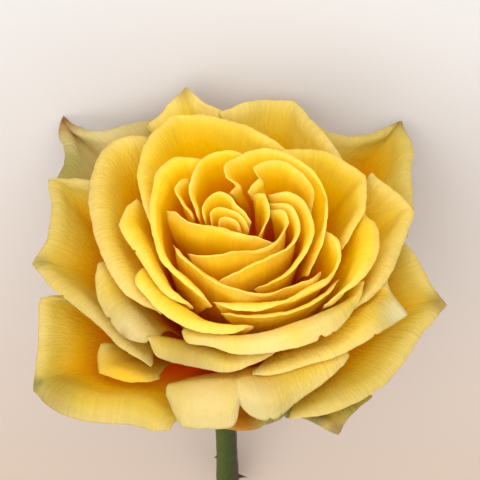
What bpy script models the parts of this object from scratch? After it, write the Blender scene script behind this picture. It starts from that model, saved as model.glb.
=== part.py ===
# A cut yellow rose lying on a surface: stem, hip, sepals and every petal as its own solid.
# The bloom is laid out upright in millimetres, with its face up +Z and the stem down -Z,
# then an empty lays it down so that it rests on two back petals and the end of its stem.
import math

import bmesh
import bpy
import numpy as np
from mathutils import Matrix, Vector
from mathutils.bvhtree import BVHTree

mm = 0.001

bladeThickness = 0.62
airGap = 0.36
seatGap = 0.3
# A petal is pressed clear of those inside it in short moves, and only by faces that look its way.
deepestPress = 5.0
longestPress = 0.8
pressTurns = 22
lastTurns = 4
sameFacing = 0.15
asideShare = 0.35
asideLeast = 0.25
# Rows of points up a petal from its claw to its crest, and on to the end of its lip.
rowsUp = [0.0, 0.16, 0.34, 0.54, 0.74, 0.9, 1.0]
lipRows = [0.5, 1.0]
lipSteps = 12
# How far the curve of a wall follows its slope at the claw and at the crest.
lowHandle = 0.40
highHandle = 0.34
evenTurns = 5
# Walls steeper than the first slope face as their crests do, and those below the second spread out.
steepTop = 60
spreadTop = 30

# The hip's domed top, which every claw stands on square: an arc from its flat crown to its rim.
crownRadius = 0.9
domeRadius = 9.4
domeCentre = -39.0
domeTurn = 84
clawStep = 0.9
clawHalfWidth = 4.4
clawShare = 0.6
widestClaw = 0.9
seatOverlap = 0.64

stemSides = 20
# The stem from its cut end up to the foot of the dome: height, radius and how far it bends aside.
stemRings = [
    (-124, 3.4, -2.3), (-116, 3.3, -2.4), (-104, 3.0, -2.5), (-92, 3.0, -2.7), (-80, 3.0, -2.5),
    (-70, 3.1, -1.6), (-61, 3.2, -0.5), (-55, 3.7, 0), (-51.6, 5.2, 0), (-48, 7.4, 0), (-44.8, 9.0, 0),
    (-42, 9.9, 0), (-40, 10.3, 0),
]
# Prickles on the stem: azimuth, height of the foot, length and how far the tip drops.
prickles = [(8, -118.0, 2.6, 1.6), (180, -106.0, 0.8, 0.3)]
prickleRadius = 1.1
prickleTip = 0.15
prickleRoot = 0.8

sepalAzimuths = [18, 90, 162, 234, 306]
sepalLength = 23.0
sepalWidth = 7.6
sepalThickness = 0.9
sepalRoot = (10.5, -41.6)
sepalSlopes = (2, 14)

# Petals from the innermost to the outermost. Each has the slope of its wall at the crest and the
# slope at the end of its lip, in degrees, then its crest from one flank to the other, seen turning
# anticlockwise from above: x, y and z of the crest, and how far the lip goes on beyond it.
petals = [
    ("heart_petal_1", "heart", 88, 60, [
        (1.6, -5.6, 16, 0.8), (0.4, -4.1, 18, 1), (-1.9, -3.0, 18.4, 1), (-3.6, -3.1, 18, 1),
        (-4.1, -4.7, 16, 0.8)]),
    ("heart_petal_2", "heart", 88, 60, [
        (3.6, -5.4, 16.6, 0.8), (1.8, -3.3, 18.6, 1), (-1.2, -1.4, 19, 1.2), (-4.3, -0.5, 19, 1.2),
        (-6.1, -1.7, 18.8, 1), (-6.0, -4.2, 17, 0.8)]),
    ("heart_petal_3", "heart", 86, 40, [
        (4.2, -3.6, 17.6, 1), (2.2, -2.0, 18.9, 1.4), (0, 0, 19.4, 1.6), (-1.4, 2.4, 19.4, 1.6),
        (-4, 4, 19.2, 1.6), (-6.6, 2.2, 19, 1.4), (-7.9, -1.4, 18.6, 1.2), (-7.7, -3.6, 17, 1)]),
    ("heart_petal_4", "heart", 82, 40, [
        (6.2, -7, 16.6, 1), (8.0, -3.4, 18.2, 1.2), (8.2, 0.8, 18.8, 1.4), (7.3, 3.6, 19, 1.4),
        (6, 4.6, 18, 1)]),
    ("heart_petal_5", "heart", 78, 10, [
        (3.5, 19.6, 13, 1), (1.6, 18.6, 16, 1.5), (-2.3, 18.2, 17, 2.2), (-6.5, 16.8, 17.2, 2.4),
        (-9.6, 12, 17.9, 2.2), (-10.9, 4.4, 18.4, 1.8), (-9.8, -0.2, 18.4, 1.4), (-9.2, -2.8, 17, 1)]),
    ("heart_petal_6", "heart", 80, 20, [
        (-11.8, 11.6, 15, 1), (-13.6, 9.4, 17, 1.4), (-14.7, 7.2, 17.2, 1.6), (-14, 4.2, 17.4, 1.6),
        (-12.6, 1.4, 17.4, 1.5), (-11.2, -1, 17.4, 1.2), (-10.8, -2, 16.8, 1)]),
    ("heart_petal_7", "heart", 100, 20, [
        (-17.6, 2.4, 14.4, 1), (-15.4, 0.2, 16.3, 1.2), (-12.5, -3, 17.4, 1.4), (-9.3, -5, 18.2, 1.8),
        (-5, -6.3, 18.6, 2.2), (0, -7.8, 18.5, 2), (5, -8.4, 18, 1.6), (9, -8.2, 16, 1)]),
    ("inner_petal_1", "inner", 98, 20, [
        (-12, -10.4, 13, 1), (-6.3, -12.8, 16, 1.4), (1.3, -12.2, 17, 1.6), (6.9, -10.4, 17.3, 1.6),
        (11, -7.2, 17.3, 1.6), (13, -3.9, 17.4, 1.6), (11.9, -1.2, 17.8, 1.6), (9.4, 0.6, 17.4, 1)]),
    ("inner_petal_2", "inner", 96, 15, [
        (-3, -18, 12.6, 1), (2.6, -16, 15, 1.8), (8.9, -12.9, 15.8, 2), (13, -10.4, 15.6, 1.6),
        (15.3, -6.6, 15.8, 1.8), (15.3, -2.6, 16.6, 2), (13.2, 0.8, 17.4, 1.8), (9.8, 2.6, 17.4, 1)]),
    ("inner_petal_3", "inner", 84, 10, [
        (5.4, -19.4, 10.6, 1), (13, -16, 13, 1.8), (16.8, -11, 14, 2.4), (18.5, -6.5, 14.6, 2.6),
        (18.4, -1.6, 15.1, 2.4), (16.4, 3, 16.4, 2), (13, 4.8, 17.4, 1.6), (9.6, 5.2, 17.4, 1)]),
    ("inner_petal_4", "inner", 72, 10, [
        (20.2, 4, 11, 1), (19.4, 8.8, 14, 1.4), (16, 13, 15.2, 1.8), (12, 15.2, 16.2, 1.8),
        (9, 14.8, 17.2, 1.6), (6.8, 12.4, 18, 1.4), (5.4, 9.2, 18.6, 1.2), (3.6, 6, 18.4, 1)]),
    ("inner_petal_5", "inner", 68, 0, [
        (18.6, -14.6, 9.4, 1), (21.5, -6, 13, 1.6), (22.3, 1, 14, 1.8), (21.4, 8.6, 14.6, 2),
        (17.4, 14.6, 15.4, 2.2), (11.5, 18.2, 16, 2.2), (6, 18.8, 16.6, 1.8), (2.1, 16.6, 17.4, 1.6),
        (-1.4, 12.8, 18.4, 1.4), (-2.3, 9.6, 18.8, 1.2), (0.2, 7.2, 18.8, 1.2), (-0.8, 5.2, 18, 1)]),
    ("inner_petal_6", "inner", 92, 10, [
        (-15.6, -6.8, 12, 1), (-13.6, -11.2, 14, 2), (-9.4, -14.8, 14, 2), (-4.4, -18, 13.4, 1.8),
        (1.4, -19.6, 13, 1.8), (8, -19.8, 12, 1.6), (14.2, -18.4, 11.3, 1.4), (19.2, -15.8, 10.8, 1.2),
        (21.2, -12.8, 9.6, 1)]),
    ("inner_petal_7", "inner", 76, -15, [
        (-5.4, -23, 9.6, 2), (-0.6, -23.4, 10.2, 4), (5.4, -23.4, 10.6, 4.4), (11.6, -21.4, 10.8, 3),
        (17.4, -17.2, 10.8, 1.6), (22, -14.4, 10.8, 2.6), (25, -9.2, 11, 2.8), (24.4, -4.8, 11.6, 2.2),
        (21.6, -0.8, 11.4, 0.8)]),
    ("inner_petal_8", "inner", 66, -30, [
        (-6.8, 18.8, 13, 1), (-10.6, 17.2, 15.8, 2), (-14.4, 16.8, 15.6, 3), (-17.2, 13.8, 15, 4),
        (-18.4, 9, 15, 4.2), (-19, 3, 15, 4), (-18.4, -5, 14.6, 3.6), (-16.4, -11.6, 13.4, 3.4),
        (-12.4, -17, 12, 2.8), (-9.4, -20.6, 9.4, 1)]),
    ("inner_petal_9", "inner", 80, 0, [
        (-3.5, -25.4, 8.4, 1), (5, -25.8, 8.4, 1.6), (13, -24.6, 8, 1.8), (18, -22.2, 7.8, 1.8),
        (23, -18.2, 7.2, 1.6), (26.4, -13.6, 6.4, 1)]),
    ("middle_petal_1", "middle", 52, -30, [
        (27.6, -5, 7.4, 0.8), (30.2, 1.6, 8, 1), (32.4, 8.6, 6.4, 1.6), (32.6, 15.6, 5, 2),
        (32.8, 21.2, 3, 2), (28.6, 23.2, 5, 2), (24.2, 24.8, 7, 2), (17.6, 23, 10.6, 2),
        (12.2, 21.4, 13, 1.6), (7.2, 21.2, 12, 0.8)]),
    ("middle_petal_2", "middle", 50, -30, [
        (14, 24.6, 10, 0.8), (5.6, 28.6, 12, 1.4), (0.4, 33.4, 9, 1.6), (-9.8, 39.2, 5, 1.6),
        (-15.4, 40.4, 3.4, 1.8), (-21, 30, 7.4, 2.4), (-23.2, 16.2, 10, 2.4), (-22.4, 8.6, 11.4, 2),
        (-21.6, 2.8, 11.4, 1.6), (-21.2, -1.4, 9, 0.8)]),
    ("middle_petal_3", "middle", 56, -35, [
        (-25.4, 10, 9, 1), (-26.6, 6, 10.4, 1.8), (-26.4, 1.4, 11, 4), (-24, -3, 11.4, 4.6),
        (-21.2, -7.4, 11.2, 4.6), (-18, -13, 10.6, 4.6), (-14, -18, 10, 4.6), (-9, -21.6, 8.8, 3)]),
    ("middle_petal_4", "middle", 56, -40, [
        (-23.8, -10.4, 7, 1.2), (-22.8, -13.2, 8.8, 4), (-19.8, -17, 8.8, 4.6), (-16, -20.6, 8.8, 5.4),
        (-11.8, -23.6, 8.4, 5.6), (-7.2, -25.2, 8, 5.8), (-1, -26, 7.8, 5.2), (5, -26.2, 6.8, 2.6)]),
    ("middle_petal_5", "middle", 52, -40, [
        (21.6, -20.2, 6.4, 0.8), (26.4, -16.6, 6.8, 2), (29.4, -12.4, 7.2, 3.6), (31.6, -7.8, 7.4, 4.8),
        (32.8, -2.6, 7.6, 5), (33.2, 2.8, 7, 4), (33.4, 9.2, 4, 1)]),
    ("middle_petal_6", "middle", 50, -45, [
        (-12.4, -26.6, 3.4, 1.6), (-11, -28.2, 4.6, 3.4), (-6.2, -29.8, 5.6, 3.6), (0.8, -30, 6.2, 6.2),
        (8, -29, 6.6, 7), (14.4, -27, 6.8, 7.6), (21.4, -22.8, 6.6, 8.2), (26.8, -19, 5.6, 5.4),
        (30.2, -16, 4.4, 2.8), (32.4, -11.4, 2.6, 1.2)]),
    ("outer_petal_1", "outer", 38, -35, [
        (29, 27.6, 0.6, 0.8), (26.6, 30, 2.6, 1), (23, 34.6, 3.4, 1.4), (19, 41, 1.6, 1.8),
        (14.8, 48.6, -1, 1.8), (8.4, 48.8, -0.4, 1.6), (1.8, 45.2, 2.4, 1.2), (-4.4, 43, 2.6, 0.6)]),
    ("outer_petal_2", "outer", 40, -40, [
        (-23.6, 36.6, 0.6, 0.6), (-28.4, 33.8, 2.4, 2.8), (-31.6, 31, 2, 3.6), (-33.8, 25.8, 2.6, 3.8),
        (-34.2, 16, 4, 4.6), (-33, 5.8, 5.4, 4.8), (-30.8, -3, 6.2, 4.6), (-27, -11, 6.2, 4.8),
        (-22.8, -17.4, 5.4, 4), (-18.6, -21.8, 3, 2.4)]),
    ("outer_petal_3", "outer", 40, -50, [
        (-22.4, -27.4, 0.6, 1.6), (-19.6, -28.6, 1.6, 4.6), (-16, -29.6, 1.8, 5.6), (-11.4, -30.6, 1.6, 5.8),
        (-6.6, -31.8, 1.2, 5.4), (-1, -33.6, 0.8, 4.4), (4.6, -32.6, 0.4, 2.4), (11, -30.6, -0.8, 1.4)]),
    ("outer_petal_4", "outer", 40, -50, [
        (-34.8, -4.4, 0.8, 1.4), (-32.4, -7.4, 1.6, 4.8), (-29.8, -13.4, 1.4, 6.8), (-26.4, -18.2, 0.8, 7.6),
        (-23.4, -21.8, -0.4, 7.2), (-22, -25.6, -2, 3.2)]),
    ("outer_petal_5", "outer", 30, -45, [
        (28.4, -20, -0.6, 0.6), (30.4, -17.6, 1.4, 1.8), (34, -12.6, 1.8, 3.2), (37.8, -6, 1.6, 3.4),
        (41.2, 2.6, 0.4, 3), (45, 12, -1.4, 2), (43.8, 16, -0.8, 1.6), (38.8, 20.4, 0.6, 1.4),
        (36.4, 25, 0, 0.8)]),
    ("outer_petal_6", "outer", 30, -45, [
        (11, -33.4, -2.4, 2), (18.6, -32, -1.6, 2.2), (25.4, -28.4, -1.2, 3.4), (29.8, -22, 0.4, 7.4),
        (33.6, -17.4, 1, 9), (36.8, -13.8, 1, 8.6), (38.8, -10.6, 0.4, 3), (40.4, -5.4, -1.2, 1)]),
    ("outer_petal_7", "outer", 34, -65, [
        (-17.4, -38.4, -6, 2.6), (-12.8, -38.6, -4, 12.6), (-7.2, -39, -2.6, 13.2), (-1.4, -38.8, -2.4, 12),
        (1, -38.4, -2.4, 5.6), (3.6, -38, -2.4, 9.6), (7.4, -36.6, -2.6, 12.6), (13.6, -34.6, -2.8, 9.8),
        (19.6, -32.4, -3.2, 7.2), (24.2, -30.2, -4, 5), (28.4, -27.6, -5, 2.4)]),
    ("outer_petal_8", "outer", 30, -20, [
        (0.4, 45.6, -1, 0.6), (-4.2, 43.6, 2.4, 1), (-9, 44.8, 3.6, 1.4), (-13.6, 49.8, 3.6, 1.4),
        (-16.4, 46.4, 2.4, 1.2), (-19.6, 43.8, 0, 1), (-23.8, 43, -3, 0.6)]),
    ("guard_petal_1", "guard", 20, -45, [
        (-38.2, 23.2, -0.6, 0.6), (-44.2, 24.8, -3, 1), (-48.4, 26.4, -5.4, 1.8), (-47.2, 16.8, -4.4, 1.8),
        (-48, 6.6, -4.4, 2), (-51.2, 0.4, -5.8, 2.2), (-45.8, -6.6, -4.4, 2.8), (-39.4, -12.8, -4, 2.8),
        (-33.2, -19, -4.4, 2.4), (-27.4, -26.4, -5, 1.8), (-21.4, -32, -6, 0.8)]),
    ("guard_petal_2", "guard", 22, -50, [
        (-34.2, -24.4, -7, 0.6), (-33.6, -27.6, -7.4, 2), (-33.2, -30.6, -8, 2.4), (-28.2, -32.6, -8, 2.4),
        (-22.6, -34, -8.4, 1.2), (-19.2, -32.8, -9.8, 0.6)]),
    ("guard_petal_3", "guard", 12, -35, [
        (-22.2, 46.4, -5, 0.6), (-30, 43.8, -5, 1), (-38.2, 42.6, -6, 1.4), (-43.4, 45.8, -8.4, 1.8),
        (-47.4, 51.6, -11.6, 1.8), (-46.6, 46, -10, 1.8), (-44.6, 38.8, -8.6, 1.8),
        (-45.6, 32.8, -8.6, 1.4), (-48.4, 29.6, -9.6, 0.8)]),
    ("guard_petal_4", "guard", 12, -35, [
        (45.6, 9.8, -8.4, 0.6), (46.2, 21, -6.6, 1.4), (45.6, 29.2, -6.4, 1.8), (46.6, 39.4, -8, 1.8),
        (44.6, 48.8, -10, 1.6), (40.2, 44.4, -7.8, 1.6), (32.8, 40.4, -5.4, 1.4), (26, 40.4, -4, 1),
        (21.2, 46, -5.4, 0.6)]),
    ("guard_petal_5", "guard", 16, -45, [
        (14, -43.4, -13.4, 0.6), (20.8, -41.8, -11.4, 1.8), (28.4, -38.6, -10, 2.6), (37.4, -31.6, -10.4, 2.8),
        (40.8, -27.2, -10, 2.8), (46, -19, -9.2, 2.8), (53, -9.6, -9.6, 2.8), (49.2, -5.4, -7, 2),
        (46.8, 2.4, -6.6, 1.2), (46.2, 7, -8, 0.6)]),
    ("guard_petal_6", "guard", 20, -60, [
        (-44, -8.4, -9, 1), (-50, -9.6, -8.4, 1.4), (-49.8, -16, -9.2, 1.4), (-50, -26.4, -11, 1.6),
        (-49.2, -32, -12.4, 4.6), (-43, -35.8, -10.4, 7), (-36, -38.6, -9.8, 7.3), (-28, -39.2, -9.8, 7.2),
        (-21.8, -40.4, -10.6, 6.8), (-18.4, -43.4, -12, 4.6), (-16, -44.8, -14, 1.6)]),
    ("guard_petal_7", "guard", 12, -45, [
        (3, -43.8, -16.4, 0.6), (7.4, -41.6, -15.2, 1.6), (16.8, -40.2, -15, 2.2), (26.2, -44.4, -15.6, 2),
        (29.2, -39, -15.2, 1.6), (35, -34.8, -15.2, 0.8)]),
]

# The innermost petals curl round the crevice in front of the axis but grow from behind it.
foldedClaws = {"heart_petal_1": 100, "heart_petal_2": 110, "heart_petal_3": 120, "heart_petal_4": -30}

restingPetals = ("guard_petal_3", "guard_petal_4")

# The later petal of each pair lies inside the earlier one where the two meet.
insidePairs = {
    ("inner_petal_4", "heart_petal_5"),
    ("inner_petal_4", "heart_petal_6"),
    ("inner_petal_5", "heart_petal_5"),
    ("inner_petal_5", "heart_petal_6"),
}

petalColour = {
    "heart": (0.86, 0.42, 0.01),
    "inner": (0.88, 0.48, 0.01),
    "middle": (0.86, 0.52, 0.03),
    "outer": (0.84, 0.56, 0.08),
    "guard": (0.78, 0.56, 0.14),
}


def clearScene():
    for found in list(bpy.data.objects):
        bpy.data.objects.remove(found, do_unlink=True)


def makeMaterial(name, colour, roughness):
    material = bpy.data.materials.new(name)
    material.use_nodes = True
    shader = material.node_tree.nodes["Principled BSDF"]
    shader.inputs["Base Color"].default_value = (*colour, 1.0)
    shader.inputs["Roughness"].default_value = roughness
    shader.inputs["Metallic"].default_value = 0.0
    return material


def pathNormals(points):
    """Level directions that point away from the bloom, square to a crest seen from above."""
    along = np.gradient(points[:, :2], axis=0)
    outward = np.stack([along[:, 1], -along[:, 0], np.zeros(len(points))], axis=1)
    return outward / np.linalg.norm(outward, axis=1)[:, None]


def evenedOut(places):
    """Points or directions along a crest with the corners evened out, so that a wall doesn't fold."""
    for turn in range(evenTurns):
        padded = np.concatenate([places[:1], places, places[-1:]])
        places = (padded[:-2] + 2 * places + padded[2:]) / 4
    return places


def wallDirections(outward, reach, top):
    """Level directions in which a wall arrives at its crest: a steep wall faces the way its crest
    does, and a spread one runs out from its claw."""
    outward = evenedOut(outward)
    outward = outward / np.linalg.norm(outward, axis=1)[:, None]
    away = reach * [1, 1, 0]
    away = away / np.linalg.norm(away, axis=1)[:, None]
    spread = min(max((steepTop - top) / (steepTop - spreadTop), 0), 1)
    mixed = outward + (away - outward) * spread
    return mixed / np.linalg.norm(mixed, axis=1)[:, None]


def domeSpot(seat, above=0.0):
    """Radius and height of a place on the dome, from 0 at its crown to 1 at its rim."""
    turn = math.radians(domeTurn * seat)
    out = domeRadius + above
    return crownRadius + out * math.sin(turn), domeCentre + out * math.cos(turn)


def crestArc(points):
    """The middle azimuth and the half width of a crest, seen from the bloom's axis."""
    azimuths = np.unwrap(np.arctan2(points[:, 1], points[:, 0]))
    return (azimuths.max() + azimuths.min()) / 2, (azimuths.max() - azimuths.min()) / 2


def clawArc(name, points, seat):
    """Azimuths of a claw along the dome of the hip, narrower than the crest that it carries."""
    radius = domeSpot(seat)[0]
    middle, half = crestArc(points)
    if name in foldedClaws:
        middle = math.radians(foldedClaws[name])
    return middle, min(clawShare * half, clawHalfWidth / radius, widestClaw)


def apart(one, other):
    """Whether two arcs, each a middle and a half width, share no azimuth."""
    away = abs((one[0] - other[0] + math.pi) % (2 * math.pi) - math.pi)
    return away > one[1] + other[1]


def chooseSeats():
    """Each claw stands one step further down the dome than those of the petals that it wraps."""
    slope = math.radians(domeTurn) * domeRadius
    taken = []
    for name, group, top, end, crest in petals:
        points = np.array(crest)[:, :3]
        middle, half = crestArc(points)
        wrap = (middle, seatOverlap * half)
        claw = clawArc(name, points, 0.1)
        level = 0.0
        for otherWrap, otherClaw, otherLevel in taken:
            if not (apart(wrap, otherWrap) and apart(claw, otherClaw)):
                level = max(level, otherLevel + clawStep / slope)
        taken.append((wrap, claw, level))
    return [level for wrap, claw, level in taken]


def petalSheet(spec, seat):
    """The middle surface of a petal as rows of points, from its claw up to the end of its lip."""
    name, group, top, end, crest = spec
    table = np.array(crest, float)
    points = table[:, :3]
    lip = table[:, 3]
    outward = pathNormals(points)
    up = np.array([0.0, 0.0, 1.0])
    middle, half = clawArc(name, points, seat)
    length = np.concatenate([[0], np.cumsum(np.linalg.norm(np.diff(points, axis=0), axis=1))])
    across = length / length[-1] * 2 - 1
    azimuth = middle + half * across
    radius, height = domeSpot(seat, seatGap)
    radial = np.stack([np.cos(azimuth), np.sin(azimuth), np.zeros(len(azimuth))], axis=1)
    base = radial * radius + up * height
    rise = math.radians(90 - domeTurn * seat)
    reach = np.linalg.norm(points - base, axis=1)[:, None]
    leave = radial * math.cos(rise) + up * math.sin(rise)
    level = wallDirections(outward, points - base, top)
    arrive = level * math.cos(math.radians(top)) + up * math.sin(math.radians(top))
    handleLow = base + leave * reach * lowHandle
    handleHigh = evenedOut(points) - arrive * reach * highHandle
    rows = []
    for t in rowsUp:
        rows.append((1 - t) ** 3 * base + 3 * t * (1 - t) ** 2 * handleLow
                    + 3 * t * t * (1 - t) * handleHigh + t ** 3 * points)
    tip = points.copy()
    for step in range(1, lipSteps + 1):
        bent = 1 - (1 - (step - 0.5) / lipSteps) ** 2
        angle = math.radians(top + (end - top) * bent)
        tip = tip + (outward * math.cos(angle) + up * math.sin(angle)) * (lip / lipSteps)[:, None]
        if step / lipSteps in lipRows:
            rows.append(tip.copy())
    return np.array(rows)


def sheetNormals(sheet):
    """Directions out of the outer face of a sheet at each of its points."""
    up = np.gradient(sheet, axis=0)
    across = np.gradient(sheet, axis=1)
    normal = np.cross(across, up)
    return normal / np.maximum(np.linalg.norm(normal, axis=2), 1e-9)[:, :, None]


def sheetTree(sheet):
    rows, columns = sheet.shape[:2]
    corners = [Vector(point) for point in sheet.reshape(-1, 3)]
    faces = []
    for row in range(rows - 1):
        for column in range(columns - 1):
            a = row * columns + column
            faces.append((a, a + 1, a + columns + 1))
            faces.append((a, a + columns + 1, a + columns))
    return BVHTree.FromPolygons(corners, faces)


def smoothed(field):
    """Each entry of a field shared with its neighbours along and across the sheet."""
    padded = np.pad(field, ((1, 1), (1, 1), (0, 0)), mode="edge")
    return (4 * field + padded[:-2, 1:-1] + padded[2:, 1:-1] + padded[1:-1, :-2] + padded[1:-1, 2:]) / 8


def halved(field):
    """A sheet, or a field on it, with a point added halfway between all of its neighbours."""
    rows, columns = field.shape[:2]
    finer = np.zeros((2 * rows - 1, 2 * columns - 1, 3))
    finer[::2, ::2] = field
    finer[1::2, ::2] = (field[:-1] + field[1:]) / 2
    finer[:, 1::2] = (finer[:, :-1:2] + finer[:, 2::2]) / 2
    return finer


def pressNeeded(offset, normal, alike, side, clear):
    """The move along a face's normal that brings a point on the far side of an offset clear."""
    through = offset.dot(normal)
    aside = (offset - normal * through).length
    if aside > max(asideShare * abs(through), asideLeast):
        return None
    way = side if alike else math.copysign(1, through)
    if through * way >= clear:
        return None
    return normal * (way * clear - through)


def pressedAgainst(sheet, facing, placed):
    """How far each point of a sheet has to move to lie clear of the petals placed before it."""
    clear = bladeThickness + airGap
    spots = halved(sheet)
    push = np.zeros_like(spots)
    rows, columns = spots.shape[:2]
    for tree, otherPoints, side in placed:
        for row in range(2, rows):
            for column in range(columns):
                point = Vector(spots[row, column])
                spot, normal, face, away = tree.find_nearest(point, deepestPress)
                if spot is None:
                    continue
                alike = normal.dot(Vector(facing[row, column])) > sameFacing
                needed = pressNeeded(point - spot, normal, alike, side, clear)
                if needed and needed.length > np.linalg.norm(push[row, column]):
                    push[row, column] = needed
    return largestNear(push)


def pressedBy(sheet, placed):
    """How far a sheet's faces have to move where points of the earlier petals come too close."""
    clear = bladeThickness + airGap
    push = np.zeros_like(sheet)
    columns = sheet.shape[1]
    tree = sheetTree(sheet)
    for otherTree, otherPoints, side in placed:
        for other, otherNormal in otherPoints:
            spot, normal, face, away = tree.find_nearest(other, clear)
            if spot is None:
                continue
            alike = normal.dot(otherNormal) > sameFacing
            needed = pressNeeded(spot - other, normal, alike, side, clear)
            if not needed:
                continue
            row, column = divmod(face // 2, columns - 1)
            for down, across in ((0, 0), (0, 1), (1, 0), (1, 1)):
                if needed.length > np.linalg.norm(push[row + down, column + across]):
                    push[row + down, column + across] = needed
    push[0] = 0
    return push


def largestNear(push):
    """The longest push among each sheet point's own and those halfway to its neighbours."""
    size = np.linalg.norm(push, axis=2)
    rows, columns = size.shape
    kept = push[::2, ::2].copy()
    longest = size[::2, ::2].copy()
    for down in (-1, 0, 1):
        for aside in (-1, 0, 1):
            at = np.clip(np.arange(0, rows, 2) + down, 0, rows - 1)
            beside = np.clip(np.arange(0, columns, 2) + aside, 0, columns - 1)
            near = np.ix_(at, beside)
            longer = size[near] > longest
            kept[longer] = push[near][longer]
            longest = np.maximum(longest, size[near])
    kept[0] = 0
    return kept


def settledSheets():
    """Every petal's sheet, each pressed outward until it clears the petals inside it."""
    earlier = []
    sheets = []
    for spec, seat in zip(petals, chooseSeats()):
        sheet = petalSheet(spec, seat)
        placed = []
        for other, tree, points in earlier:
            side = -1 if (spec[0], other) in insidePairs else 1
            placed.append((tree, points, side))
        facing = sheetNormals(halved(sheet))
        for turn in range(pressTurns):
            push = pressedAgainst(sheet, facing, placed)
            back = pressedBy(sheet, placed)
            longer = np.linalg.norm(back, axis=2) > np.linalg.norm(push, axis=2)
            push[longer] = back[longer]
            if not push.any():
                break
            size = np.linalg.norm(push, axis=2, keepdims=True)
            push = push * np.minimum(1, longestPress / np.maximum(size, 1e-9))
            if turn < pressTurns - lastTurns:
                spread = smoothed(smoothed(push))
                spread[0] = 0
                push = np.where(size > 0, push, spread)
            sheet = sheet + push
        spots = halved(sheet)
        normals = sheetNormals(spots)
        points = [(Vector(spot), Vector(normal))
                  for spot, normal in zip(spots[1:].reshape(-1, 3), normals[1:].reshape(-1, 3))]
        earlier.append((spec[0], sheetTree(sheet), points))
        sheets.append(sheet)
    return sheets


def bladeMesh(name, sheet, thickness):
    """A closed blade round a sheet, cut into the same triangles on both of its faces."""
    rows, columns = sheet.shape[:2]
    offset = sheetNormals(sheet) * thickness / 2
    outer = (sheet + offset).reshape(-1, 3) * mm
    inner = (sheet - offset).reshape(-1, 3) * mm
    count = rows * columns
    faces = []
    for row in range(rows - 1):
        for column in range(columns - 1):
            a = row * columns + column
            b, c, d = a + 1, a + columns + 1, a + columns
            faces.append((a, b, c))
            faces.append((a, c, d))
            faces.append((count + a, count + c, count + b))
            faces.append((count + a, count + d, count + c))
    rim = [column for column in range(columns)]
    rim += [row * columns + columns - 1 for row in range(1, rows)]
    rim += [(rows - 1) * columns + column for column in range(columns - 2, -1, -1)]
    rim += [row * columns for row in range(rows - 2, 0, -1)]
    for a, b in zip(rim, rim[1:] + rim[:1]):
        faces.append((b, a, count + a))
        faces.append((b, count + a, count + b))
    mesh = bpy.data.meshes.new(name)
    mesh.from_pydata([tuple(point) for point in np.vstack([outer, inner])], [], faces)
    mesh.update()
    return mesh


def place(name, mesh, material, lying):
    piece = bpy.data.objects.new(name, mesh)
    bpy.context.scene.collection.objects.link(piece)
    mesh.materials.append(material)
    piece.parent = lying
    return piece


def stemMesh():
    """The stem and the hip that it swells into, turned as one body with a domed top."""
    outline = list(stemRings)
    for step in range(9):
        radius, height = domeSpot(1 - step / 8)
        outline.append((height, radius, 0))
    shape = bmesh.new()
    rings = []
    for height, radius, aside in outline:
        ring = []
        for side in range(stemSides):
            turn = 2 * math.pi * side / stemSides
            corner = Vector((aside + radius * math.cos(turn), radius * math.sin(turn), height))
            ring.append(shape.verts.new(corner * mm))
        rings.append(ring)
    for low, high in zip(rings, rings[1:]):
        for side in range(stemSides):
            after = (side + 1) % stemSides
            shape.faces.new((low[side], low[after], high[after], high[side]))
    shape.faces.new(list(reversed(rings[0])))
    shape.faces.new(rings[-1])
    mesh = bpy.data.meshes.new("stem_and_hip")
    shape.to_mesh(mesh)
    shape.free()
    mesh.shade_smooth()
    mesh.set_sharp_from_angle(angle=math.radians(50))
    return mesh


def addPrickle(stem, number, azimuth, height, length, drop, lying):
    """A small cone rooted in the stem, joined to it by a union."""
    heights, radii, bends = zip(*stemRings)
    radius = np.interp(height, heights, radii)
    aside = np.interp(height, heights, bends)
    shape = bmesh.new()
    bmesh.ops.create_cone(shape, cap_ends=True, segments=8, radius1=prickleRadius * mm,
                          radius2=prickleTip * mm, depth=(length + 2 * prickleRoot) * mm)
    out = Vector((math.cos(math.radians(azimuth)), math.sin(math.radians(azimuth)), 0))
    axis = out * length - Vector((0, 0, drop))
    centre = out * (radius - prickleRoot + length / 2) + Vector((aside, 0, height - drop / 2))
    turn = axis.to_track_quat("Z", "Y").to_matrix().to_4x4()
    bmesh.ops.transform(shape, matrix=Matrix.Translation(centre * mm) @ turn, verts=shape.verts)
    mesh = bpy.data.meshes.new("prickle_cone_%d" % number)
    shape.to_mesh(mesh)
    shape.free()
    cone = bpy.data.objects.new("prickle_cone_%d" % number, mesh)
    bpy.context.scene.collection.objects.link(cone)
    cone.parent = lying
    cone.hide_render = True
    cone.display_type = "WIRE"
    joint = stem.modifiers.new("prickle_%d" % number, "BOOLEAN")
    joint.operation = "UNION"
    joint.object = cone


def sepalSheet(azimuth):
    """The middle surface of a sepal that spreads under the guard petals and droops to a point."""
    turn = math.radians(azimuth)
    out = np.array([math.cos(turn), math.sin(turn), 0.0])
    side = np.array([-math.sin(turn), math.cos(turn), 0.0])
    up = np.array([0.0, 0.0, 1.0])
    rows = []
    spine = out * sepalRoot[0] + up * sepalRoot[1]
    steps = 8
    for step in range(steps + 1):
        along = step / steps
        slope = math.radians(sepalSlopes[0] + (sepalSlopes[1] - sepalSlopes[0]) * along)
        width = sepalWidth * (0.72 + 0.9 * along) * (1 - along) ** 0.9 + 0.9
        across = np.linspace(-1, 1, 5)
        cup = up * 0.14 * width * (across ** 2)[:, None]
        rows.append(spine + side * (across * width / 2)[:, None] + cup)
        spine = spine + (out * math.cos(slope) + up * math.sin(slope)) * sepalLength / steps
    return np.array(rows)


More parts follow.
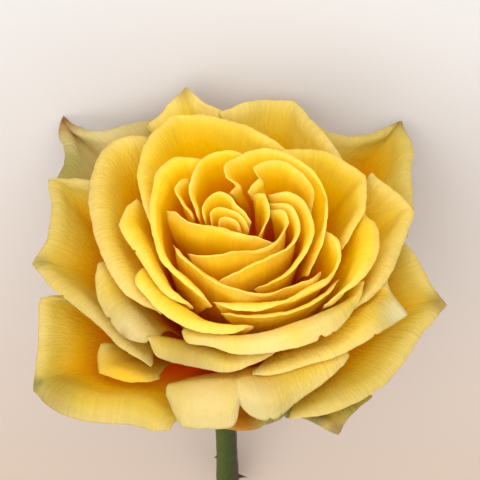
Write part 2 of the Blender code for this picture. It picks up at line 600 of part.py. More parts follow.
def layDown():
    """An empty that tips the bloom over until two back petals and the stem end touch down."""
    tips = [max(crest, key=lambda spot: spot[1]) for name, group, top, end, crest in petals
            if name in restingPetals]
    reach = sum(tip[1] for tip in tips) / len(tips)
    height = sum(tip[2] for tip in tips) / len(tips)
    endHeight, endRadius, aside = stemRings[0]
    lean = math.atan2(reach - endRadius, height - endHeight)
    lying = bpy.data.objects.new("lying_rose", None)
    bpy.context.scene.collection.objects.link(lying)
    lying.rotation_euler = (lean - math.pi / 2, 0, 0)
    return lying


def restOnOrigin(lying, pieces):
    """Moves the lying rose so that the middle of its box's underside is at the origin."""
    turn = lying.rotation_euler.to_matrix()
    corners = np.array([turn @ vertex.co for piece in pieces for vertex in piece.data.vertices])
    low = corners.min(axis=0)
    high = corners.max(axis=0)
    lying.location = (-(low[0] + high[0]) / 2, -(low[1] + high[1]) / 2, -low[2])


def main():
    clearScene()
    lying = layDown()
    materials = {}
    for group, colour in petalColour.items():
        materials[group] = makeMaterial(group + "_petal", colour, 0.55)
    stemGreen = makeMaterial("stem_green", (0.09, 0.16, 0.03), 0.5)
    sepalGreen = makeMaterial("sepal_green", (0.10, 0.19, 0.05), 0.6)
    pieces = []
    for spec, sheet in zip(petals, settledSheets()):
        mesh = bladeMesh(spec[0], sheet, bladeThickness)
        pieces.append(place(spec[0], mesh, materials[spec[1]], lying))
    stem = place("stem_and_hip", stemMesh(), stemGreen, lying)
    pieces.append(stem)
    for number, prickle in enumerate(prickles):
        addPrickle(stem, number + 1, *prickle, lying)
    for number, azimuth in enumerate(sepalAzimuths):
        name = "sepal_%d" % (number + 1)
        mesh = bladeMesh(name, sepalSheet(azimuth), sepalThickness)
        pieces.append(place(name, mesh, sepalGreen, lying))
    restOnOrigin(lying, pieces)


main()
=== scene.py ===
# The cut yellow rose lying on a pale table, dressed round its imported part. The petals stand
# where the part's own petals stand: the same crests are pressed clear of each other by the
# same rules, then drawn finely, thinned towards the margin and given veins, nicks, stains and painted light
# and shade.
import math

import bpy
import numpy as np
from mathutils import Matrix, Vector
from mathutils.bvhtree import BVHTree


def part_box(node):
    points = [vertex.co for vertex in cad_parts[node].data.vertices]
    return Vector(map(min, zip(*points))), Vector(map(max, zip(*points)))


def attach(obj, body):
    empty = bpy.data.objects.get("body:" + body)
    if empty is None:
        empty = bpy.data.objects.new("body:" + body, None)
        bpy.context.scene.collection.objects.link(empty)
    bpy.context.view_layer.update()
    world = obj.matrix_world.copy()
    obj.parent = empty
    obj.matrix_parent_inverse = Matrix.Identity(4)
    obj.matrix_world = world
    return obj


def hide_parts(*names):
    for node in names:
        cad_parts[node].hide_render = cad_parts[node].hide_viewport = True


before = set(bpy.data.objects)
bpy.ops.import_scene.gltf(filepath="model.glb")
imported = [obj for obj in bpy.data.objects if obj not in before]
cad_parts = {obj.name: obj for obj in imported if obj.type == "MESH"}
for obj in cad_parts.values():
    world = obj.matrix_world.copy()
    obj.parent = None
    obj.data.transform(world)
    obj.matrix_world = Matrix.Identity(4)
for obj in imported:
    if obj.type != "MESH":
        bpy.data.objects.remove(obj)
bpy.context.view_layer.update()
mm = 0.001

# The part's own measures, in millimetres where no note says otherwise.
bladeThickness = 0.62
airGap = 0.36           # kept free between one blade and the next
seatGap = 0.3           # from the dome to a claw's middle surface
deepestPress = 5.0      # nothing further apart than this is pressed
longestPress = 0.8      # the most that a point moves in one turn
pressTurns = 22
lastTurns = 4           # turns at the end in which no push spreads to its neighbours
sameFacing = 0.15       # cosine from which two faces count as looking the same way
asideShare = 0.35       # how far aside the nearest point may lie, as a share of its depth
asideLeast = 0.25
rowsUp = [0.0, 0.16, 0.34, 0.54, 0.74, 0.9, 1.0]  # shares of the wall, from the claw to the crest
lipRows = [0.5, 1.0]    # shares of the lip
lipSteps = 12
lowHandle = 0.40        # how far the wall keeps its slope at the claw and at the crest, as shares
highHandle = 0.34
evenTurns = 5
steepTop = 60           # degrees: a wall this steep faces the way its crest does
spreadTop = 30          # degrees: a wall this flat runs straight out from its claw
crownRadius = 0.9       # the flat at the very top of the hip's dome
domeRadius = 9.4
domeCentre = -39.0
domeTurn = 84           # degrees from the dome's crown to its rim
clawStep = 0.9          # from one claw to the next, along the dome
clawHalfWidth = 4.4
clawShare = 0.6         # a claw's arc, as a share of its crest's
widestClaw = 0.9        # radians
seatOverlap = 0.64      # share of a crest's arc in which it wraps the petals inside it

# Petals from the innermost to the outermost: the slopes at the crest and at the end of the lip,
# then the crest from one flank to the other: x, y and z, and how far the lip goes beyond it.
petals = [
    ("heart_petal_1", "heart", 88, 60, [
        (1.6, -5.6, 16, 0.8), (0.4, -4.1, 18, 1), (-1.9, -3.0, 18.4, 1), (-3.6, -3.1, 18, 1),
        (-4.1, -4.7, 16, 0.8)]),
    ("heart_petal_2", "heart", 88, 60, [
        (3.6, -5.4, 16.6, 0.8), (1.8, -3.3, 18.6, 1), (-1.2, -1.4, 19, 1.2), (-4.3, -0.5, 19, 1.2),
        (-6.1, -1.7, 18.8, 1), (-6.0, -4.2, 17, 0.8)]),
    ("heart_petal_3", "heart", 86, 40, [
        (4.2, -3.6, 17.6, 1), (2.2, -2.0, 18.9, 1.4), (0, 0, 19.4, 1.6), (-1.4, 2.4, 19.4, 1.6),
        (-4, 4, 19.2, 1.6), (-6.6, 2.2, 19, 1.4), (-7.9, -1.4, 18.6, 1.2), (-7.7, -3.6, 17, 1)]),
    ("heart_petal_4", "heart", 82, 40, [
        (6.2, -7, 16.6, 1), (8.0, -3.4, 18.2, 1.2), (8.2, 0.8, 18.8, 1.4), (7.3, 3.6, 19, 1.4),
        (6, 4.6, 18, 1)]),
    ("heart_petal_5", "heart", 78, 10, [
        (3.5, 19.6, 13, 1), (1.6, 18.6, 16, 1.5), (-2.3, 18.2, 17, 2.2), (-6.5, 16.8, 17.2, 2.4),
        (-9.6, 12, 17.9, 2.2), (-10.9, 4.4, 18.4, 1.8), (-9.8, -0.2, 18.4, 1.4), (-9.2, -2.8, 17, 1)]),
    ("heart_petal_6", "heart", 80, 20, [
        (-11.8, 11.6, 15, 1), (-13.6, 9.4, 17, 1.4), (-14.7, 7.2, 17.2, 1.6), (-14, 4.2, 17.4, 1.6),
        (-12.6, 1.4, 17.4, 1.5), (-11.2, -1, 17.4, 1.2), (-10.8, -2, 16.8, 1)]),
    ("heart_petal_7", "heart", 100, 20, [
        (-17.6, 2.4, 14.4, 1), (-15.4, 0.2, 16.3, 1.2), (-12.5, -3, 17.4, 1.4), (-9.3, -5, 18.2, 1.8),
        (-5, -6.3, 18.6, 2.2), (0, -7.8, 18.5, 2), (5, -8.4, 18, 1.6), (9, -8.2, 16, 1)]),
    ("inner_petal_1", "inner", 98, 20, [
        (-12, -10.4, 13, 1), (-6.3, -12.8, 16, 1.4), (1.3, -12.2, 17, 1.6), (6.9, -10.4, 17.3, 1.6),
        (11, -7.2, 17.3, 1.6), (13, -3.9, 17.4, 1.6), (11.9, -1.2, 17.8, 1.6), (9.4, 0.6, 17.4, 1)]),
    ("inner_petal_2", "inner", 96, 15, [
        (-3, -18, 12.6, 1), (2.6, -16, 15, 1.8), (8.9, -12.9, 15.8, 2), (13, -10.4, 15.6, 1.6),
        (15.3, -6.6, 15.8, 1.8), (15.3, -2.6, 16.6, 2), (13.2, 0.8, 17.4, 1.8), (9.8, 2.6, 17.4, 1)]),
    ("inner_petal_3", "inner", 84, 10, [
        (5.4, -19.4, 10.6, 1), (13, -16, 13, 1.8), (16.8, -11, 14, 2.4), (18.5, -6.5, 14.6, 2.6),
        (18.4, -1.6, 15.1, 2.4), (16.4, 3, 16.4, 2), (13, 4.8, 17.4, 1.6), (9.6, 5.2, 17.4, 1)]),
    ("inner_petal_4", "inner", 72, 10, [
        (20.2, 4, 11, 1), (19.4, 8.8, 14, 1.4), (16, 13, 15.2, 1.8), (12, 15.2, 16.2, 1.8),
        (9, 14.8, 17.2, 1.6), (6.8, 12.4, 18, 1.4), (5.4, 9.2, 18.6, 1.2), (3.6, 6, 18.4, 1)]),
    ("inner_petal_5", "inner", 68, 0, [
        (18.6, -14.6, 9.4, 1), (21.5, -6, 13, 1.6), (22.3, 1, 14, 1.8), (21.4, 8.6, 14.6, 2),
        (17.4, 14.6, 15.4, 2.2), (11.5, 18.2, 16, 2.2), (6, 18.8, 16.6, 1.8), (2.1, 16.6, 17.4, 1.6),
        (-1.4, 12.8, 18.4, 1.4), (-2.3, 9.6, 18.8, 1.2), (0.2, 7.2, 18.8, 1.2), (-0.8, 5.2, 18, 1)]),
    ("inner_petal_6", "inner", 92, 10, [
        (-15.6, -6.8, 12, 1), (-13.6, -11.2, 14, 2), (-9.4, -14.8, 14, 2), (-4.4, -18, 13.4, 1.8),
        (1.4, -19.6, 13, 1.8), (8, -19.8, 12, 1.6), (14.2, -18.4, 11.3, 1.4), (19.2, -15.8, 10.8, 1.2),
        (21.2, -12.8, 9.6, 1)]),
    ("inner_petal_7", "inner", 76, -15, [
        (-5.4, -23, 9.6, 2), (-0.6, -23.4, 10.2, 4), (5.4, -23.4, 10.6, 4.4), (11.6, -21.4, 10.8, 3),
        (17.4, -17.2, 10.8, 1.6), (22, -14.4, 10.8, 2.6), (25, -9.2, 11, 2.8), (24.4, -4.8, 11.6, 2.2),
        (21.6, -0.8, 11.4, 0.8)]),
    ("inner_petal_8", "inner", 66, -30, [
        (-6.8, 18.8, 13, 1), (-10.6, 17.2, 15.8, 2), (-14.4, 16.8, 15.6, 3), (-17.2, 13.8, 15, 4),
        (-18.4, 9, 15, 4.2), (-19, 3, 15, 4), (-18.4, -5, 14.6, 3.6), (-16.4, -11.6, 13.4, 3.4),
        (-12.4, -17, 12, 2.8), (-9.4, -20.6, 9.4, 1)]),
    ("inner_petal_9", "inner", 80, 0, [
        (-3.5, -25.4, 8.4, 1), (5, -25.8, 8.4, 1.6), (13, -24.6, 8, 1.8), (18, -22.2, 7.8, 1.8),
        (23, -18.2, 7.2, 1.6), (26.4, -13.6, 6.4, 1)]),
    ("middle_petal_1", "middle", 52, -30, [
        (27.6, -5, 7.4, 0.8), (30.2, 1.6, 8, 1), (32.4, 8.6, 6.4, 1.6), (32.6, 15.6, 5, 2),
        (32.8, 21.2, 3, 2), (28.6, 23.2, 5, 2), (24.2, 24.8, 7, 2), (17.6, 23, 10.6, 2),
        (12.2, 21.4, 13, 1.6), (7.2, 21.2, 12, 0.8)]),
    ("middle_petal_2", "middle", 50, -30, [
        (14, 24.6, 10, 0.8), (5.6, 28.6, 12, 1.4), (0.4, 33.4, 9, 1.6), (-9.8, 39.2, 5, 1.6),
        (-15.4, 40.4, 3.4, 1.8), (-21, 30, 7.4, 2.4), (-23.2, 16.2, 10, 2.4), (-22.4, 8.6, 11.4, 2),
        (-21.6, 2.8, 11.4, 1.6), (-21.2, -1.4, 9, 0.8)]),
    ("middle_petal_3", "middle", 56, -35, [
        (-25.4, 10, 9, 1), (-26.6, 6, 10.4, 1.8), (-26.4, 1.4, 11, 4), (-24, -3, 11.4, 4.6),
        (-21.2, -7.4, 11.2, 4.6), (-18, -13, 10.6, 4.6), (-14, -18, 10, 4.6), (-9, -21.6, 8.8, 3)]),
    ("middle_petal_4", "middle", 56, -40, [
        (-23.8, -10.4, 7, 1.2), (-22.8, -13.2, 8.8, 4), (-19.8, -17, 8.8, 4.6), (-16, -20.6, 8.8, 5.4),
        (-11.8, -23.6, 8.4, 5.6), (-7.2, -25.2, 8, 5.8), (-1, -26, 7.8, 5.2), (5, -26.2, 6.8, 2.6)]),
    ("middle_petal_5", "middle", 52, -40, [
        (21.6, -20.2, 6.4, 0.8), (26.4, -16.6, 6.8, 2), (29.4, -12.4, 7.2, 3.6), (31.6, -7.8, 7.4, 4.8),
        (32.8, -2.6, 7.6, 5), (33.2, 2.8, 7, 4), (33.4, 9.2, 4, 1)]),
    ("middle_petal_6", "middle", 50, -45, [
        (-12.4, -26.6, 3.4, 1.6), (-11, -28.2, 4.6, 3.4), (-6.2, -29.8, 5.6, 3.6), (0.8, -30, 6.2, 6.2),
        (8, -29, 6.6, 7), (14.4, -27, 6.8, 7.6), (21.4, -22.8, 6.6, 8.2), (26.8, -19, 5.6, 5.4),
        (30.2, -16, 4.4, 2.8), (32.4, -11.4, 2.6, 1.2)]),
    ("outer_petal_1", "outer", 38, -35, [
        (29, 27.6, 0.6, 0.8), (26.6, 30, 2.6, 1), (23, 34.6, 3.4, 1.4), (19, 41, 1.6, 1.8),
        (14.8, 48.6, -1, 1.8), (8.4, 48.8, -0.4, 1.6), (1.8, 45.2, 2.4, 1.2), (-4.4, 43, 2.6, 0.6)]),
    ("outer_petal_2", "outer", 40, -40, [
        (-23.6, 36.6, 0.6, 0.6), (-28.4, 33.8, 2.4, 2.8), (-31.6, 31, 2, 3.6), (-33.8, 25.8, 2.6, 3.8),
        (-34.2, 16, 4, 4.6), (-33, 5.8, 5.4, 4.8), (-30.8, -3, 6.2, 4.6), (-27, -11, 6.2, 4.8),
        (-22.8, -17.4, 5.4, 4), (-18.6, -21.8, 3, 2.4)]),
    ("outer_petal_3", "outer", 40, -50, [
        (-22.4, -27.4, 0.6, 1.6), (-19.6, -28.6, 1.6, 4.6), (-16, -29.6, 1.8, 5.6),
        (-11.4, -30.6, 1.6, 5.8), (-6.6, -31.8, 1.2, 5.4), (-1, -33.6, 0.8, 4.4), (4.6, -32.6, 0.4, 2.4),
        (11, -30.6, -0.8, 1.4)]),
    ("outer_petal_4", "outer", 40, -50, [
        (-34.8, -4.4, 0.8, 1.4), (-32.4, -7.4, 1.6, 4.8), (-29.8, -13.4, 1.4, 6.8),
        (-26.4, -18.2, 0.8, 7.6), (-23.4, -21.8, -0.4, 7.2), (-22, -25.6, -2, 3.2)]),
    ("outer_petal_5", "outer", 30, -45, [
        (28.4, -20, -0.6, 0.6), (30.4, -17.6, 1.4, 1.8), (34, -12.6, 1.8, 3.2), (37.8, -6, 1.6, 3.4),
        (41.2, 2.6, 0.4, 3), (45, 12, -1.4, 2), (43.8, 16, -0.8, 1.6), (38.8, 20.4, 0.6, 1.4),
        (36.4, 25, 0, 0.8)]),
    ("outer_petal_6", "outer", 30, -45, [
        (11, -33.4, -2.4, 2), (18.6, -32, -1.6, 2.2), (25.4, -28.4, -1.2, 3.4), (29.8, -22, 0.4, 7.4),
        (33.6, -17.4, 1, 9), (36.8, -13.8, 1, 8.6), (38.8, -10.6, 0.4, 3), (40.4, -5.4, -1.2, 1)]),
    ("outer_petal_7", "outer", 34, -65, [
        (-17.4, -38.4, -6, 2.6), (-12.8, -38.6, -4, 12.6), (-7.2, -39, -2.6, 13.2), (-1.4, -38.8, -2.4, 12),
        (1, -38.4, -2.4, 5.6), (3.6, -38, -2.4, 9.6), (7.4, -36.6, -2.6, 12.6), (13.6, -34.6, -2.8, 9.8),
        (19.6, -32.4, -3.2, 7.2), (24.2, -30.2, -4, 5), (28.4, -27.6, -5, 2.4)]),
    ("outer_petal_8", "outer", 30, -20, [
        (0.4, 45.6, -1, 0.6), (-4.2, 43.6, 2.4, 1), (-9, 44.8, 3.6, 1.4), (-13.6, 49.8, 3.6, 1.4),
        (-16.4, 46.4, 2.4, 1.2), (-19.6, 43.8, 0, 1), (-23.8, 43, -3, 0.6)]),
    ("guard_petal_1", "guard", 20, -45, [
        (-38.2, 23.2, -0.6, 0.6), (-44.2, 24.8, -3, 1), (-48.4, 26.4, -5.4, 1.8), (-47.2, 16.8, -4.4, 1.8),
        (-48, 6.6, -4.4, 2), (-51.2, 0.4, -5.8, 2.2), (-45.8, -6.6, -4.4, 2.8), (-39.4, -12.8, -4, 2.8),
        (-33.2, -19, -4.4, 2.4), (-27.4, -26.4, -5, 1.8), (-21.4, -32, -6, 0.8)]),
    ("guard_petal_2", "guard", 22, -50, [
        (-34.2, -24.4, -7, 0.6), (-33.6, -27.6, -7.4, 2), (-33.2, -30.6, -8, 2.4), (-28.2, -32.6, -8, 2.4),
        (-22.6, -34, -8.4, 1.2), (-19.2, -32.8, -9.8, 0.6)]),
    ("guard_petal_3", "guard", 12, -35, [
        (-22.2, 46.4, -5, 0.6), (-30, 43.8, -5, 1), (-38.2, 42.6, -6, 1.4), (-43.4, 45.8, -8.4, 1.8),
        (-47.4, 51.6, -11.6, 1.8), (-46.6, 46, -10, 1.8), (-44.6, 38.8, -8.6, 1.8),
        (-45.6, 32.8, -8.6, 1.4), (-48.4, 29.6, -9.6, 0.8)]),
    ("guard_petal_4", "guard", 12, -35, [
        (45.6, 9.8, -8.4, 0.6), (46.2, 21, -6.6, 1.4), (45.6, 29.2, -6.4, 1.8), (46.6, 39.4, -8, 1.8),
        (44.6, 48.8, -10, 1.6), (40.2, 44.4, -7.8, 1.6), (32.8, 40.4, -5.4, 1.4), (26, 40.4, -4, 1),
        (21.2, 46, -5.4, 0.6)]),
    ("guard_petal_5", "guard", 16, -45, [
        (14, -43.4, -13.4, 0.6), (20.8, -41.8, -11.4, 1.8), (28.4, -38.6, -10, 2.6),
        (37.4, -31.6, -10.4, 2.8), (40.8, -27.2, -10, 2.8), (46, -19, -9.2, 2.8), (53, -9.6, -9.6, 2.8),
        (49.2, -5.4, -7, 2), (46.8, 2.4, -6.6, 1.2), (46.2, 7, -8, 0.6)]),
    ("guard_petal_6", "guard", 20, -60, [
        (-44, -8.4, -9, 1), (-50, -9.6, -8.4, 1.4), (-49.8, -16, -9.2, 1.4), (-50, -26.4, -11, 1.6),
        (-49.2, -32, -12.4, 4.6), (-43, -35.8, -10.4, 7), (-36, -38.6, -9.8, 7.3), (-28, -39.2, -9.8, 7.2),
        (-21.8, -40.4, -10.6, 6.8), (-18.4, -43.4, -12, 4.6), (-16, -44.8, -14, 1.6)]),
    ("guard_petal_7", "guard", 12, -45, [
        (3, -43.8, -16.4, 0.6), (7.4, -41.6, -15.2, 1.6), (16.8, -40.2, -15, 2.2), (26.2, -44.4, -15.6, 2),
        (29.2, -39, -15.2, 1.6), (35, -34.8, -15.2, 0.8)]),
]

# The innermost petals curl round the crevice in front of the axis but grow from behind it.
foldedClaws = {"heart_petal_1": 100, "heart_petal_2": 110, "heart_petal_3": 120, "heart_petal_4": -30}

restingPetals = ("guard_petal_3", "guard_petal_4")

# The later petal of each pair lies inside the earlier one where the two meet.
insidePairs = {
    ("inner_petal_4", "heart_petal_5"),
    ("inner_petal_4", "heart_petal_6"),
    ("inner_petal_5", "heart_petal_5"),
    ("inner_petal_5", "heart_petal_6"),
}


# Level directions that point away from the bloom, square to a crest seen from above.
def pathNormals(points):
    along = np.gradient(points[:, :2], axis=0)
    outward = np.stack([along[:, 1], -along[:, 0], np.zeros(len(points))], axis=1)
    return outward / np.linalg.norm(outward, axis=1)[:, None]


# Radius and height of a place on the dome, from 0 at its crown to 1 at its rim.
def domeSpot(seat, above=0.0):
    turn = math.radians(domeTurn * seat)
    out = domeRadius + above
    return crownRadius + out * math.sin(turn), domeCentre + out * math.cos(turn)


# The middle azimuth and the half width of a crest, seen from the bloom's axis.
def crestArc(points):
    azimuths = np.unwrap(np.arctan2(points[:, 1], points[:, 0]))
    return (azimuths.max() + azimuths.min()) / 2, (azimuths.max() - azimuths.min()) / 2


# Azimuths of a claw along the dome of the hip, narrower than the crest that it carries.
def clawArc(name, points, seat):
    radius = domeSpot(seat)[0]
    middle, half = crestArc(points)
    if name in foldedClaws:
        middle = math.radians(foldedClaws[name])
    return middle, min(clawShare * half, clawHalfWidth / radius, widestClaw)


# Whether two arcs, each a middle and a half width, share no azimuth.
def apart(one, other):
    away = abs((one[0] - other[0] + math.pi) % (2 * math.pi) - math.pi)
    return away > one[1] + other[1]


# Each claw stands one step further down the dome than those of the petals that it wraps.
def chooseSeats():
    slope = math.radians(domeTurn) * domeRadius
    taken = []
    for name, group, top, end, crest in petals:
        points = np.array(crest)[:, :3]
        middle, half = crestArc(points)
        wrap = (middle, seatOverlap * half)
        claw = clawArc(name, points, 0.1)
        level = 0.0
        for otherWrap, otherClaw, otherLevel in taken:
            if not (apart(wrap, otherWrap) and apart(claw, otherClaw)):
                level = max(level, otherLevel + clawStep / slope)
        taken.append((wrap, claw, level))
    return [level for wrap, claw, level in taken]


# Points or directions along a crest with the corners evened out, so that a wall doesn't fold.
def evenedOut(places):
    for turn in range(evenTurns):
        padded = np.concatenate([places[:1], places, places[-1:]])
        places = (padded[:-2] + 2 * places + padded[2:]) / 4
    return places


# Level directions in which a wall arrives at its crest: a steep wall faces the way its crest does,
# and a spread one runs out from its claw.
def wallDirections(outward, reach, top):
    outward = evenedOut(outward)
    outward = outward / np.linalg.norm(outward, axis=1)[:, None]
    away = reach * [1, 1, 0]
    away = away / np.linalg.norm(away, axis=1)[:, None]
    spread = min(max((steepTop - top) / (steepTop - spreadTop), 0), 1)
    mixed = outward + (away - outward) * spread
    return mixed / np.linalg.norm(mixed, axis=1)[:, None]


# The middle surface of a petal as rows of points, from its claw up to the end of its lip.
def petalSheet(spec, seat):
    name, group, top, end, crest = spec
    table = np.array(crest, float)
    points = table[:, :3]
    lip = table[:, 3]
    outward = pathNormals(points)
    up = np.array([0.0, 0.0, 1.0])
    middle, half = clawArc(name, points, seat)
    length = np.concatenate([[0], np.cumsum(np.linalg.norm(np.diff(points, axis=0), axis=1))])
    across = length / length[-1] * 2 - 1
    azimuth = middle + half * across
    radius, height = domeSpot(seat, seatGap)
    radial = np.stack([np.cos(azimuth), np.sin(azimuth), np.zeros(len(azimuth))], axis=1)
    base = radial * radius + up * height
    rise = math.radians(90 - domeTurn * seat)
    reach = np.linalg.norm(points - base, axis=1)[:, None]
    leave = radial * math.cos(rise) + up * math.sin(rise)
    level = wallDirections(outward, points - base, top)
    arrive = level * math.cos(math.radians(top)) + up * math.sin(math.radians(top))
    handleLow = base + leave * reach * lowHandle
    handleHigh = evenedOut(points) - arrive * reach * highHandle
    rows = []
    for t in rowsUp:
        rows.append((1 - t) ** 3 * base + 3 * t * (1 - t) ** 2 * handleLow
                    + 3 * t * t * (1 - t) * handleHigh + t ** 3 * points)
    tip = points.copy()
    for step in range(1, lipSteps + 1):
        bent = 1 - (1 - (step - 0.5) / lipSteps) ** 2
        angle = math.radians(top + (end - top) * bent)
        tip = tip + (outward * math.cos(angle) + up * math.sin(angle)) * (lip / lipSteps)[:, None]
        if step / lipSteps in lipRows:
            rows.append(tip.copy())
    return np.array(rows)


# Directions out of the outer face of a sheet at each of its points.
def sheetNormals(sheet):
    up = np.gradient(sheet, axis=0)
    across = np.gradient(sheet, axis=1)
    normal = np.cross(across, up)
    return normal / np.maximum(np.linalg.norm(normal, axis=2), 1e-9)[:, :, None]


# A sheet as a search tree of triangles, two to each cell, row by row.
def sheetTree(sheet):
    rows, columns = sheet.shape[:2]
    a = np.arange(rows * columns).reshape(rows, columns)[:-1, :-1].ravel()
    faces = np.stack([a, a + 1, a + columns + 1, a, a + columns + 1, a + columns], axis=1)
    corners = [Vector(point) for point in sheet.reshape(-1, 3)]
    return BVHTree.FromPolygons(corners, faces.reshape(-1, 3).tolist())


# Each entry of a field shared with its neighbours along and across the sheet.
def smoothed(field):
    padded = np.pad(field, ((1, 1), (1, 1), (0, 0)), mode="edge")
    return (4 * field + padded[:-2, 1:-1] + padded[2:, 1:-1] + padded[1:-1, :-2] + padded[1:-1, 2:]) / 8


# A sheet, or a field on it, with a point added halfway between all of its neighbours.
def halved(field):
    rows, columns = field.shape[:2]
    finer = np.zeros((2 * rows - 1, 2 * columns - 1, 3))
    finer[::2, ::2] = field
    finer[1::2, ::2] = (field[:-1] + field[1:]) / 2
    finer[:, 1::2] = (finer[:, :-1:2] + finer[:, 2::2]) / 2
    return finer


# The move along a face's normal that brings a point on the far side of an offset clear.
def pressNeeded(offset, normal, alike, side, clear):
    through = offset.dot(normal)
    aside = (offset - normal * through).length
    if aside > max(asideShare * abs(through), asideLeast):
        return None
    way = side if alike else math.copysign(1, through)
    if through * way >= clear:
        return None
    return normal * (way * clear - through)


# How far each point of a sheet has to move to lie clear of the petals placed before it.
def pressedAgainst(sheet, facing, placed):
    clear = bladeThickness + airGap
    spots = halved(sheet)
    push = np.zeros_like(spots)
    rows, columns = spots.shape[:2]
    for tree, otherPoints, side in placed:
        for row in range(2, rows):
            for column in range(columns):
                point = Vector(spots[row, column])
                spot, normal, face, away = tree.find_nearest(point, deepestPress)
                if spot is None:
                    continue
                alike = normal.dot(Vector(facing[row, column])) > sameFacing
                needed = pressNeeded(point - spot, normal, alike, side, clear)
                if needed and needed.length > np.linalg.norm(push[row, column]):
                    push[row, column] = needed
    return largestNear(push)


# How far a sheet's faces have to move where points of the earlier petals come too close.
def pressedBy(sheet, placed):
    clear = bladeThickness + airGap
    push = np.zeros_like(sheet)
    columns = sheet.shape[1]
    tree = sheetTree(sheet)
    for otherTree, otherPoints, side in placed:
        for other, otherNormal in otherPoints:
            spot, normal, face, away = tree.find_nearest(other, clear)
            if spot is None:
                continue
            alike = normal.dot(otherNormal) > sameFacing
            needed = pressNeeded(spot - other, normal, alike, side, clear)
            if not needed:
                continue
            row, column = divmod(face // 2, columns - 1)
            for down, across in ((0, 0), (0, 1), (1, 0), (1, 1)):
                if needed.length > np.linalg.norm(push[row + down, column + across]):
                    push[row + down, column + across] = needed
    push[0] = 0
    return push


# The longest push among each sheet point's own and those halfway to its neighbours.
def largestNear(push):
    size = np.linalg.norm(push, axis=2)
    rows, columns = size.shape
    kept = push[::2, ::2].copy()
    longest = size[::2, ::2].copy()
    for down in (-1, 0, 1):
        for aside in (-1, 0, 1):
            at = np.clip(np.arange(0, rows, 2) + down, 0, rows - 1)
            beside = np.clip(np.arange(0, columns, 2) + aside, 0, columns - 1)
            near = np.ix_(at, beside)
            longer = size[near] > longest
            kept[longer] = push[near][longer]
            longest = np.maximum(longest, size[near])
    kept[0] = 0
    return kept


# Every petal's sheet, each pressed outward until it clears the petals inside it.
def settledSheets():
    earlier = []
    sheets = []
    for spec, seat in zip(petals, chooseSeats()):
        sheet = petalSheet(spec, seat)
        placed = []
        for other, tree, points in earlier:
            side = -1 if (spec[0], other) in insidePairs else 1
            placed.append((tree, points, side))
        facing = sheetNormals(halved(sheet))
        for turn in range(pressTurns):
            push = pressedAgainst(sheet, facing, placed)
            back = pressedBy(sheet, placed)
            longer = np.linalg.norm(back, axis=2) > np.linalg.norm(push, axis=2)
            push[longer] = back[longer]
            if not push.any():
                break
            size = np.linalg.norm(push, axis=2, keepdims=True)
            push = push * np.minimum(1, longestPress / np.maximum(size, 1e-9))
            if turn < pressTurns - lastTurns:
                spread = smoothed(smoothed(push))
                spread[0] = 0
                push = np.where(size > 0, push, spread)
            sheet = sheet + push
        spots = halved(sheet)
        normals = sheetNormals(spots)
        points = [(Vector(spot), Vector(normal))
                  for spot, normal in zip(spots[1:].reshape(-1, 3), normals[1:].reshape(-1, 3))]
        earlier.append((spec[0], sheetTree(sheet), points))
        sheets.append(sheet)
    return sheets


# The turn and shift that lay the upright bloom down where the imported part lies: the line from the
# edge of the stem's end to the middle between the resting tips is turned level, and the shift is
# read off one petal, whose box is known.
def lyingPlace(sheets):
    tips = [max(crest, key=lambda spot: spot[1]) for name, group, top, end, crest in petals
            if name in restingPetals]
    reach = sum(tip[1] for tip in tips) / len(tips)
    height = sum(tip[2] for tip in tips) / len(tips)
    footHeight, footRadius = stemLook["rings"][0][:2]
    lean = math.atan2(reach - footRadius, height - footHeight)
    turn = np.array(Matrix.Rotation(lean - math.pi / 2, 3, "X"))
    known = "guard_petal_5"
    sheet = sheets[[spec[0] for spec in petals].index(known)]
    blade = np.stack([sheet + sheetNormals(sheet) * side * bladeThickness / 2 for side in (1, -1)])
    low = (blade.reshape(-1, 3) @ turn.T).min(axis=0) * mm
    return turn, np.array(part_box(known)[0]) - low


# How a petal is drawn: how fine, how thick, and how its margin waves. Lengths in millimetres.
petalLook = {
    "seed": 40,
    "across": 0.55,         # spacing of the points along the margin
    "fewest": 3,            # points at least from one station of the crest to the next
    "wallSteps": (10, 18),  # rows up to three quarters of the wall, and on to the crest
    "lipSteps": 14,
    "thickness": 0.36,
    "marginThickness": 0.12,
    "marginTaper": 1.6,     # the blade thins over this distance
    "endShare": 0.06,       # share of the margin that rounds off at each flank
    "endDrop": 0.20,        # how far down the sheet it rounds off, as a share
    "squareDrop": 0.04,     # the same where a petal ends square
    "endCurve": 1.6,        # power of the rounding
    "taperShare": 0.14,     # share over which a lip narrows to a point at each flank
    "taper": 0.85,          # how much of the lip is gone at the very end
    "taperCurve": 1.5,
    "nickDepth": 0.26,      # how uneven the margin's own line is
    "nickLength": 9.0,
    "nickReach": 2.2,
    "nickMargin": 20.0,     # a margin shorter than this is more even
    "waveHeight": 0.34,     # the margin's ruffle
    "waveLength": 13.0,
    "waveReach": 4.0,
    "bulgeHeight": 0.16,    # the blade's soft unevenness, along it and up it
    "bulgeLengths": (16.0, 11.0),
    "bulgeSlants": (0.35, 0.4),  # so that neither runs quite square to the margin
    "bulgeReach": 18.0,
    "outerShare": 0.5,      # the paler outer face is toned by this share of the distance from the margin
}
lipShare = {"heart": 0.5, "inner": 0.75}  # the lips of the closed petals roll over less

